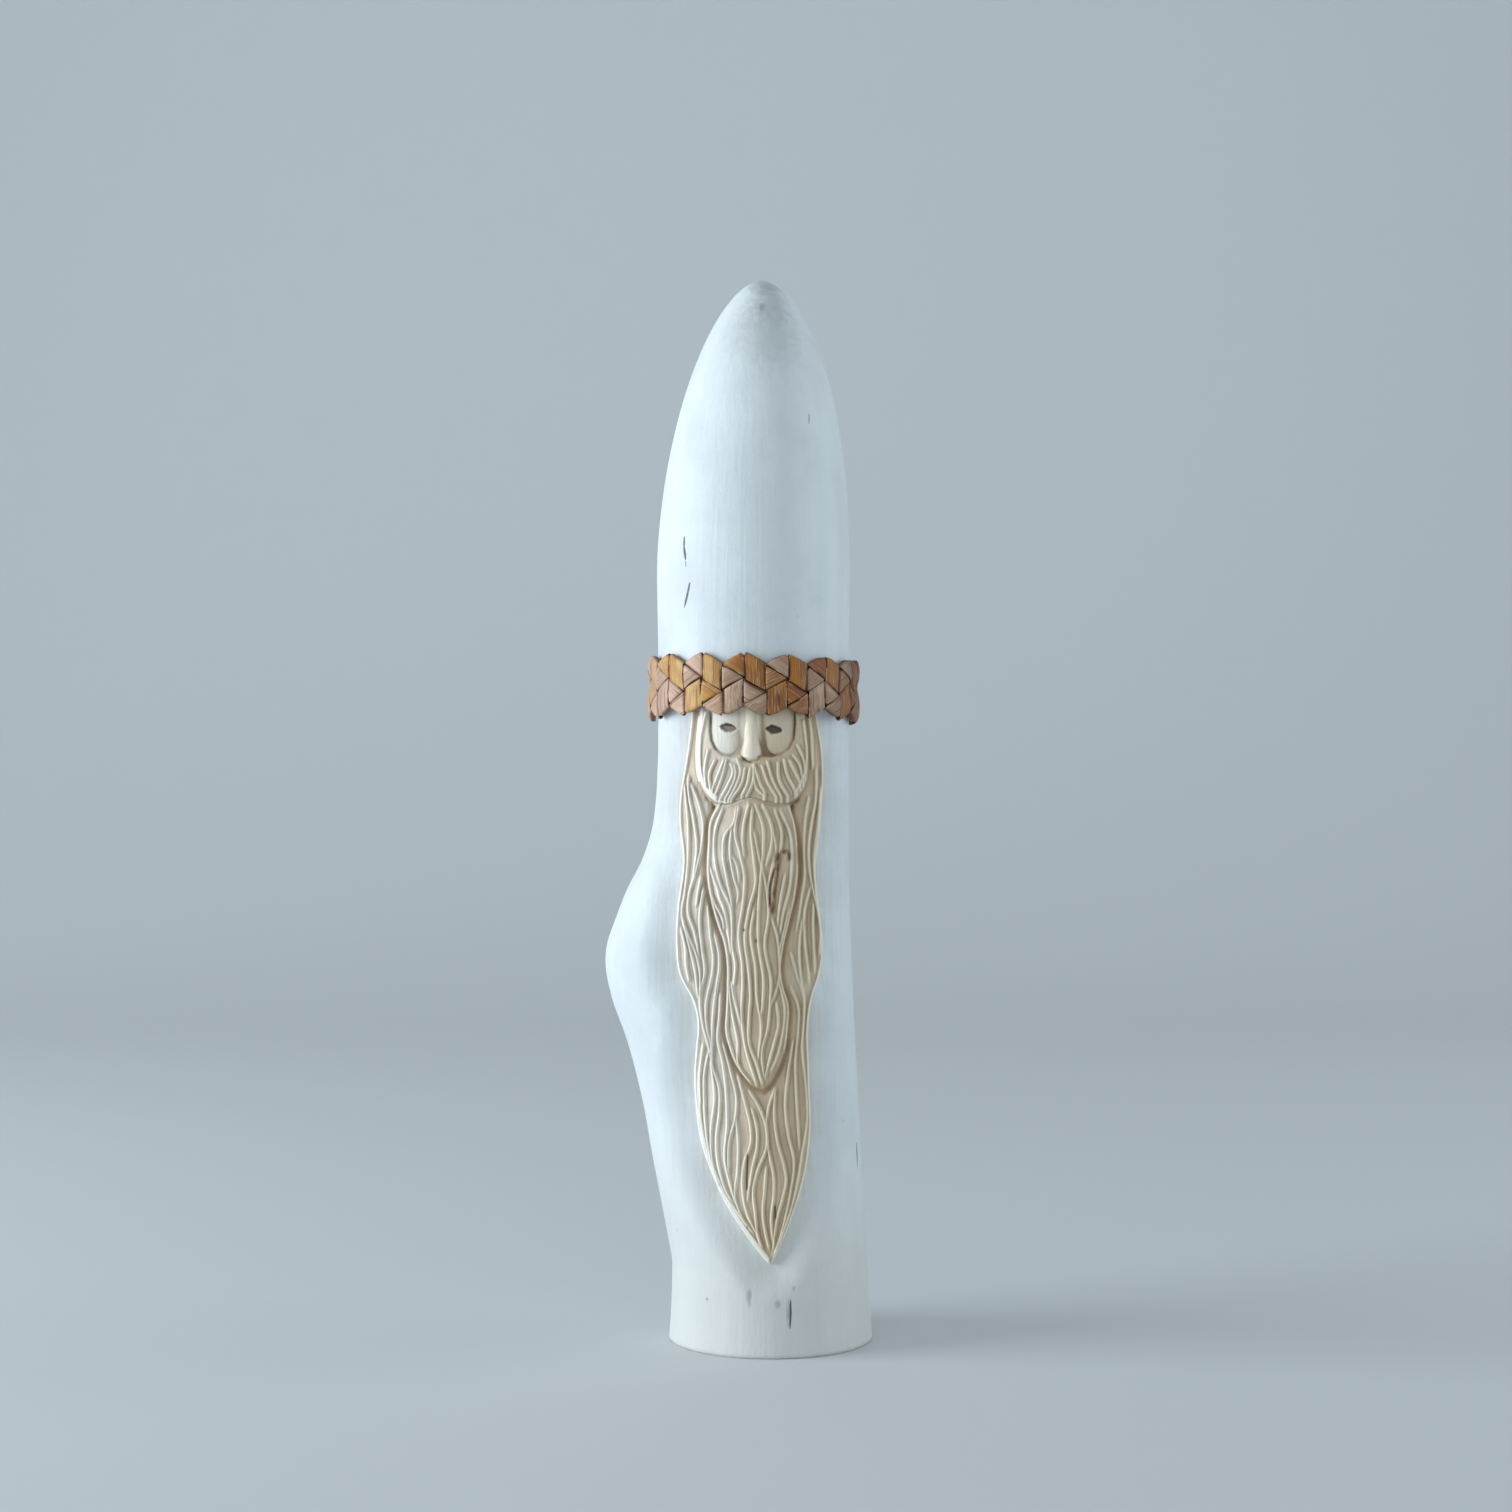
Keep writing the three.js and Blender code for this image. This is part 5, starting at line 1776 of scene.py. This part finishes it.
    def nose(self, x: Array, z: Array) -> Array:
        """How far the nose stands out of the face's floor.

        Args:
            x: Places across in the front view.
            z: Places up in the front view.

        Returns:
            The rise at each place.
        """
        up = z - self.nose_bottom
        narrowing = smooth((up - 1.5) / 5.0)
        half = self.nose_bridge + (self.nose_wing - self.nose_bridge) * (1.0 - narrowing)
        short = np.maximum(self.nose_wing - up, 0.0) / self.nose_wing
        end = np.sqrt(np.maximum(1.0 - short**2, 0.0))
        off = np.abs(x - self.nose_x) / np.maximum(half * np.maximum(end, 1e-3), 1e-3)
        profile = np.maximum(1.0 - off**2.2, 0.0) ** 0.5
        rise = self.nose_rise * (1.0 - 0.22 * smooth((up - 3.0) / 9.0))
        return np.where(up > 0.0, rise * profile * np.minimum(end * 1.25, 1.0), 0.0)


class Turned(Enum):
    """Which way round a strand of the plait runs."""

    RISING = "rising"
    FALLING = "falling"


@dataclass(frozen=True)
class Line:
    """A straight line in the flat plait, upright at x or through (0, y) with a rise."""

    x: float | None = None
    y: float = 0.0
    rise: float = 0.0

    def meet(self, other: "Line") -> Array:
        """Where this line crosses another.

        Args:
            other: The other line.

        Returns:
            The crossing's x and y.
        """
        if self.x is not None:
            return np.array([self.x, other.y + other.rise * self.x])
        if other.x is not None:
            return np.array([other.x, self.y + self.rise * other.x])
        x = (other.y - self.y) / (self.rise - other.rise)
        return np.array([x, self.y + self.rise * x])


@dataclass(frozen=True)
class Section:
    """One place of a strip: its two edge points in the flat plait, its layer, and its fold."""

    edges: Array
    layer: float
    fold: float = 0.0


@dataclass
class PlaitedCrown:
    """The crown: four bark strips folded back and forth between two rims of points."""

    points: int = 15
    inner_radius: float = 27.55
    lattice_radius: float = 28.45
    bark: float = 0.4
    pitch: float = 0.6
    edge_gap: float = 0.56
    climb_start: float = 0.13
    climb_end: float = 0.1
    end_gap: float = 0.2
    fold_bulge: float = 0.5
    centre: float = BRANCH.crown_centre
    tilt: float = 0.018
    side_bulge: float = 0.028
    pucker: float = 0.75
    droop: float = 1.7
    turn: float = math.radians(-5.1)
    long_turns: int = 8
    across: Sequence[float] = (
        0, 0.02, 0.05, 0.11, 0.2, 0.32, 0.44, 0.56, 0.68, 0.8, 0.89, 0.95, 0.98, 1
    )
    step: float = 0.5
    crowning: float = 0.26
    curl: float = 0.14
    blunt_from: float = 6.9
    blunt: float = 0.3
    blunt_play: float = 0.22
    stray: float = 0.16
    trim: float = 0.13
    trim_wander: float = 0.2
    most_grown: float = -0.12
    most_trimmed: float = 0.6
    fold_steps: int = 9
    top_from: float = 2.4
    top_width: float = 0.5
    first_seed: int = 11

    def __post_init__(self) -> None:
        """Works out the plait's own measures."""
        self.columns = 2 * self.points
        self.column_turn = 2.0 * math.pi / self.columns
        self.column = 2.0 * self.lattice_radius * math.tan(self.column_turn / 2.0)
        self.slope = math.tan(math.pi / 6.0)
        self.slanted = self.column / math.cos(math.pi / 6.0)
        self.rim_top = self.slanted + self.column * self.slope / 2.0
        self.rim_bottom = self.rim_top - 2.0 * self.slanted

    def radius(self, layer: Array | float) -> Array | float:
        """The radius of the middle of a layer of bark."""
        return self.inner_radius + self.bark / 2.0 + (layer - 1.0) * self.pitch

    def fall(self, y: float, at_x: float, shift: float = 0.0) -> Line:
        """A line that falls to the right through a height at a place, shifted square to it."""
        return Line(y=y + self.slope * at_x + shift / math.cos(math.pi / 6.0), rise=-self.slope)

    def rise(self, y: float, at_x: float, shift: float = 0.0) -> Line:
        """A line that rises to the right through a height at a place, shifted square to it."""
        return Line(y=y - self.slope * at_x + shift / math.cos(math.pi / 6.0), rise=self.slope)

    def sections(self, first_point: int, turns: int) -> list[Section]:
        """Lists where a strip crosses others, changes layers and folds.

        Args:
            first_point: The point of the rim at which the strip first folds over.
            turns: How many times it goes up.

        Returns:
            The strip's places in order, with 1 on the second side of an upper fold and -1 on
            that of a lower one.
        """
        inset = self.edge_gap / 2.0
        column = self.column
        middle = self.rim_top - self.slanted
        found: list[Section] = []

        def add(run: tuple[Line, Line], line: Line, layer: float, fold: float = 0.0) -> None:
            """Notes one place."""
            found.append(Section(np.stack([run[0].meet(line), run[1].meet(line)]), layer, fold))

        def climb(run: tuple[Line, Line], line: Callable[[float], Line], layer: float, to: float,
                  start: float = self.climb_start, end: float = self.climb_end) -> None:
            """Notes a change of layers over a line given by its shift."""
            add(run, line(start), layer)
            add(run, line(-end), to)

        for turn in range(-1, turns):
            x = 2 * (first_point - 2 * turn) * column
            hidden = x - 2 * column
            up = (Line(x=x + inset), Line(x=x + column - inset))
            down = (self.rise(self.rim_top, x, -inset), self.rise(middle, x, inset))
            after = (Line(x=x - 4 * column + inset), Line(x=x - 3 * column - inset))
            if turn >= 0:
                climb(up, lambda shift: self.rise(self.rim_bottom, x, -shift), 1, 2)
                climb(up, lambda shift: self.fall(middle, x, -shift), 2, 3)
                add(up, self.fall(self.rim_top, x), 3)
                add(down, self.fall(self.rim_top, x), 1, 1.0)
                climb(down, lambda shift: Line(x=x + shift), 1, 2)
                climb(down, lambda shift: self.fall(middle, x, shift), 2, 3)
                climb(down, lambda shift: Line(x=x - column + shift), 3, 2, end=self.climb_start)
                climb(down, lambda shift: self.fall(middle, hidden, shift), 2, 1,
                      self.climb_end, self.climb_start)
            if turn == turns - 1:
                add(down, Line(x=hidden + self.end_gap / 2.0), 1)
                break
            if turn < 0:
                add(down, Line(x=hidden - self.end_gap / 2.0), 1)
            climb(down, lambda shift: self.fall(self.rim_bottom, hidden, shift), 1, 2)
            climb(down, lambda shift: Line(x=x - 3 * column + shift), 2, 3)
            add(down, self.fall(self.rim_bottom, x - 4 * column), 3)
            add(after, self.fall(self.rim_bottom, x - 4 * column), 1, -1.0)
        return found

    def path(self, first_point: int, turns: int) -> tuple[Array, Array]:
        """Runs a strip through its places in short steps.

        Args:
            first_point: The point at which the strip first folds over.
            turns: How many times it goes up.

        Returns:
            The strip's two edges in the flat plait at each step, and its layer there.
        """
        places = self.sections(first_point, turns)
        outward = np.array([math.sin(math.pi / 6.0), math.cos(math.pi / 6.0)])
        edges, layers = [], []
        for before, now in zip(places, places[1:]):
            if now.fold:
                middle = (before.edges + now.edges) / 2.0
                for swing in np.radians(np.linspace(-90.0, 90.0, self.fold_steps + 2)[1:-1]):
                    edges.append(middle + now.fold * outward * self.fold_bulge * math.cos(swing))
                    layers.append(2.0 - math.sin(swing))
                continue
            length = np.linalg.norm(now.edges.mean(axis=0) - before.edges.mean(axis=0))
            count = max(int(round(length / self.step)), 2)
            for share in np.linspace(0.0, 1.0, count, endpoint=False):
                edges.append(before.edges * (1.0 - share) + now.edges * share)
                layers.append(before.layer + (now.layer - before.layer) * float(smooth(share)))
        edges.append(places[-1].edges)
        layers.append(places[-1].layer)
        return np.array(edges), np.array(layers)

    def rough_cut(self, edges: Array, way: Array, seed: int) -> Array:
        """Lets a strip's two cut edges wander a little, mostly to the inside.

        Args:
            edges: The two edges' points.
            way: The way along the strip.
            seed: Picks the wander.

        Returns:
            The edges' new points.
        """
        wide = edges[:, 1] - edges[:, 0]
        unit = wide / np.linalg.norm(wide, axis=1)[:, None]
        cut = edges.copy()
        for side, sign in ((0, 1.0), (1, -1.0)):
            wander = self.trim + self.trim_wander * ripple(seed + 50 * side, 1.5, 16.0)(way)
            wander = np.clip(wander, self.most_grown, self.most_trimmed)
            cut[:, side] += sign * wander[:, None] * unit
        return cut

    def settle(self, flat: Array) -> Array:
        """Blunts the points of the rims and lets the whole plait stray from its ruled lines.

        Args:
            flat: Places of the flat plait, as x and y.

        Returns:
            The places after that.
        """
        x, y = flat[..., 0], flat[..., 1]
        over = np.maximum(np.abs(y) - self.blunt_from, 0.0)
        share = over / (self.rim_top - self.blunt_from)
        peak = np.sin(x / self.column * math.pi * 0.37 + np.sign(y) * 1.3)
        y = y - np.sign(y) * over * share * (self.blunt + self.blunt_play * peak)
        dx = ripple(71, 9.0, 40.0)(x + 5.0 * np.sign(y)) + 0.6 * ripple(72, 5.0, 12.0)(y + 0.7 * x)
        dy = ripple(73, 8.0, 36.0)(x) + 0.5 * ripple(74, 5.0, 12.0)(y - 0.6 * x)
        return np.stack([x + self.stray * dx, y + self.stray * dy], axis=-1)

    def wrap(self, flat: Array, r: Array) -> Array:
        """Wraps places of the flat plait round the brow at a radius.

        Args:
            flat: The places, as x and y.
            r: The radius of each.

        Returns:
            The points in space.
        """
        angle = self.turn + flat[..., 0] / self.column * self.column_turn
        aside, up = np.abs(np.sin(angle)), flat[..., 1] / self.rim_top
        x, y = r * np.sin(angle), -r * np.cos(angle)
        waist = self.pucker * aside**6 * (1.0 - np.abs(np.sin(math.pi * up)))
        x = x * (1.0 + self.side_bulge * aside**4) - np.sign(x) * waist
        sag = self.droop * aside**8 * np.minimum(up, 0.0)
        middle = BRANCH.axis(np.array(self.centre))
        return np.stack([middle + x, y, self.centre + flat[..., 1] + sag - self.tilt * x], axis=-1)

    def strip(
        self, name: str, first_point: int, turns: int, turned: Turned, seed: int
    ) -> bpy.types.Object:
        """Makes one strip with its two faces.

        Args:
            name: The piece's name.
            first_point: The point at which it first folds over.
            turns: How many times it goes up.
            turned: The strand's direction.
            seed: Picks its own wander.

        Returns:
            The strip.
        """
        edges, layers = self.path(first_point, turns)
        steps = np.linalg.norm(np.diff(edges.mean(axis=1), axis=0), axis=1)
        way = np.concatenate([[0.0], np.cumsum(steps)])
        edges = self.rough_cut(edges, way, seed)
        share = np.array(self.across)[None, :, None]
        flat = edges[:, :1] * (1.0 - share) + edges[:, 1:] * share
        if turned is Turned.FALLING:
            flat = np.stack([flat[..., 0] - self.column, -flat[..., 1]], axis=-1)
        off = np.abs(2.0 * share[..., 0] - 1.0)
        top = np.clip((layers[:, None] - self.top_from) / self.top_width, 0.0, 1.0)
        lift = self.crowning * (1.0 - off**2)
        lift = lift + self.curl * off**4 * ripple(seed + 9, 3.0, 18.0)(way)[:, None]
        middle = self.wrap(self.settle(flat), self.radius(layers)[:, None] + lift * top)
        along, over = np.gradient(middle, axis=0), np.gradient(middle, axis=1)
        normal = np.cross(over, along)
        normal = normal / np.maximum(np.linalg.norm(normal, axis=-1), TINY)[..., None]
        if turned is Turned.FALLING:
            normal = -normal
        half = normal * (self.bark / 2.0)
        points = np.concatenate([middle + half, (middle - half)[:, ::-1]], axis=1)
        both = np.ones(middle.shape[:2])

        def two_faces(values: Array) -> Array:
            """Repeats values of the middle surface for its two faces."""
            full = values * both
            return np.concatenate([full, full[:, ::-1]], axis=1)

        masks = {
            "face": np.concatenate([both, -both], axis=1),
            "rim": two_faces(off),
            "top": two_faces(top),
            "along": two_faces(way[:, None] + seed * 40.0),
            "over": two_faces((share[..., 0] - 0.5) * self.column),
        }
        return self.strip_mesh(name, Skin(points, masks))

    def strip_mesh(self, name: str, skin: Skin) -> bpy.types.Object:
        """Makes a strip's closed mesh and lays its map along it.

        Args:
            name: The piece's name.
            skin: The strip's points and masks.

        Returns:
            The strip.
        """
        bm, layers = tube(skin.points, skin.masks)
        bmesh.ops.holes_fill(bm, edges=[edge for edge in bm.edges if edge.is_boundary], sides=0)
        uv = bm.loops.layers.uv.new("strip")
        for face in bm.faces:
            for loop in face.loops:
                loop[uv].uv = (loop.vert[layers["along"]], loop.vert[layers["over"]])
        return finished(name, bm)

    def build(self, effects: Effects) -> None:
        """Makes and dresses the four strips, with the shared effects in their finishes."""
        gold = Tone(srgb(227, 184, 112), srgb(182, 126, 63))
        ochre = Tone(srgb(190, 122, 34), srgb(133, 74, 16))
        pink = Tone(srgb(220, 184, 162), srgb(182, 142, 115))
        rose = Tone(srgb(198, 165, 138), srgb(156, 119, 92))
        tan = Tone(srgb(190, 140, 90), srgb(146, 88, 46))
        straw = Tone(srgb(220, 168, 84), srgb(180, 116, 46))
        amber = Tone(srgb(172, 104, 44), srgb(130, 68, 30))
        outer = (gold, ochre)
        finishes = iter((
            (BirchBark("bark_gold_over_tan", outer, (pink, tan)), "bark_gold"),
            (BirchBark("bark_gold_over_pink", outer, (pink, rose)), "bark_gold"),
            (BirchBark("bark_gold_under_pink", outer, (pink, rose)), "bark_pink"),
            (BirchBark("bark_pink_over_amber", (pink, rose), (straw, amber)), "bark_amber"),
        ))
        back = self.points // 2
        short = self.points - self.long_turns
        runs = ((1, back, self.long_turns), (2, back - 2 * self.long_turns, short))
        for turn, turned in enumerate(Turned):
            for number, first, turns in runs:
                node = f"bark_strip_{turned.value}_{number}"
                seed = self.first_seed + 4 * turn + number
                piece = self.strip(f"{node}_bark", first, turns, turned, seed)
                finish, slot = next(finishes)
                dress(piece, finish.material(effects), slot, node)


@dataclass
class Studio:
    """A pale sweep, soft lamps from the left and a level camera."""

    floor_half: float = 6.6
    floor_front: float = 7.0
    floor_back: float = 0.9
    sweep_radius: float = 0.9
    sweep_rows: int = 110
    wall_height: float = 2.3
    floor_colour: tuple = srgb(214, 217, 219)
    key_power: float = 15.9
    rim_power: float = 3.1
    world_level: float = 0.825
    sky_share: float = 0.5
    shown_level: float = 0.72
    world_colour: tuple = (0.83, 0.94, 1.0, 1.0)

    def floor(self) -> None:
        """A floor that curves up behind the figure."""
        flat = self.floor_front + self.floor_back
        curve = self.sweep_radius * math.pi / 2.0
        bm = bmesh.new()
        bmesh.ops.create_grid(bm, x_segments=2, y_segments=self.sweep_rows, size=1.0)
        for vert in bm.verts:
            run = (vert.co.y + 1.0) / 2.0 * (flat + curve + self.wall_height)
            turn = min(max(run - flat, 0.0), curve) / self.sweep_radius
            vert.co = (
                vert.co.x * self.floor_half,
                min(run, flat) - self.floor_front + self.sweep_radius * math.sin(turn),
                self.sweep_radius * (1.0 - math.cos(turn)) + max(run - flat - curve, 0.0),
            )
        piece = finished("floor", bm)
        material, _, shader = new_material("floor_paper", 0.9)
        shader.inputs["Base Color"].default_value = self.floor_colour
        piece.data.materials.append(material)

    def lamp(self, name: str, place: tuple[float, float, float], size: float, power: float,
             colour: tuple[float, float, float]) -> None:
        """Hangs one soft square lamp that looks at the figure.

        Args:
            name: Its name.
            place: Where it hangs, in metres.
            size: Its side, in metres.
            power: Its power in watts.
            colour: Its colour.
        """
        light = bpy.data.lights.new(name, "AREA")
        light.size = size
        light.energy = power
        light.color = colour
        lamp = bpy.data.objects.new(name, light)
        lamp.location = place
        aim = Vector((0.0, 0.0, BRANCH.height / 2.0 * MM)) - Vector(place)
        lamp.rotation_euler = aim.to_track_quat("-Z", "Y").to_euler()
        bpy.context.scene.collection.objects.link(lamp)

    def camera(self) -> None:
        """Sets up the level camera of the front view."""
        data = bpy.data.cameras.new("camera")
        data.angle = VIEW.field_of_view
        camera = bpy.data.objects.new("camera", data)
        camera.location = (VIEW.eye_x * MM, -VIEW.distance * MM, VIEW.eye_z * MM)
        camera.rotation_euler = (math.pi / 2.0, 0.0, 0.0)
        bpy.context.scene.collection.objects.link(camera)
        bpy.context.scene.camera = camera

    def world(self) -> None:
        """Lights the room evenly but for a duller ceiling, and shows the camera a pale wall."""
        world = bpy.data.worlds.new("studio")
        world.use_nodes = True
        bpy.context.scene.world = world
        wiring = Wiring(world.node_tree)
        path = wiring.node("LightPath")
        seen = wiring.maths("MAXIMUM", path.outputs["Is Camera Ray"], path.outputs["Is Glossy Ray"])
        seen = wiring.maths("MAXIMUM", seen, path.outputs["Is Transmission Ray"])
        way = wiring.node("TexCoord").outputs["Generated"]
        up = wiring.node("SeparateXYZ", {0: way}).outputs[2]
        dull = wiring.times(wiring.ramp(up, 0.1, 0.9), 1.0 - self.sky_share)
        lit = wiring.times(wiring.maths("SUBTRACT", 1.0, dull), self.world_level)
        hidden = wiring.times(lit, wiring.maths("SUBTRACT", 1.0, seen))
        level = wiring.scaled(seen, self.shown_level, hidden)
        background = world.node_tree.nodes["Background"]
        background.inputs["Color"].default_value = self.world_colour
        wiring.tree.links.new(level, background.inputs["Strength"])

    def build(self) -> None:
        """Makes the whole studio."""
        self.floor()
        self.lamp("window_left", (-1.26, -0.23, 0.34), 0.9, self.key_power, (0.88, 0.95, 1.0))
        self.lamp("wall_right", (1.15, 0.12, 0.3), 0.8, self.rim_power, (0.86, 0.95, 1.0))
        self.camera()
        self.world()
        bpy.context.scene.view_settings.view_transform = "Standard"


def corners(bounds: Iterable) -> list[list[float]]:
    """A box as plain lists of numbers."""
    return [list(map(float, corner)) for corner in bounds]


def main() -> None:
    """Builds the figure and its studio."""
    logging.basicConfig(level=logging.INFO, format="%(name)s: %(message)s")
    effects = Effects()
    Studio().build()
    paint = WhitePaint().material(effects)
    wood = CarvedWood().material(effects)
    dress(PaintedBranch().build(), paint, "painted_wood", CARVED_NODE)
    for tier in (Hair(), MiddleBeard(), FaceAndMoustache()):
        dress(tier.build(), wood, "painted_wood", CARVED_NODE)
    PlaitedCrown().build(effects)


if __name__ == "__main__":
    main()
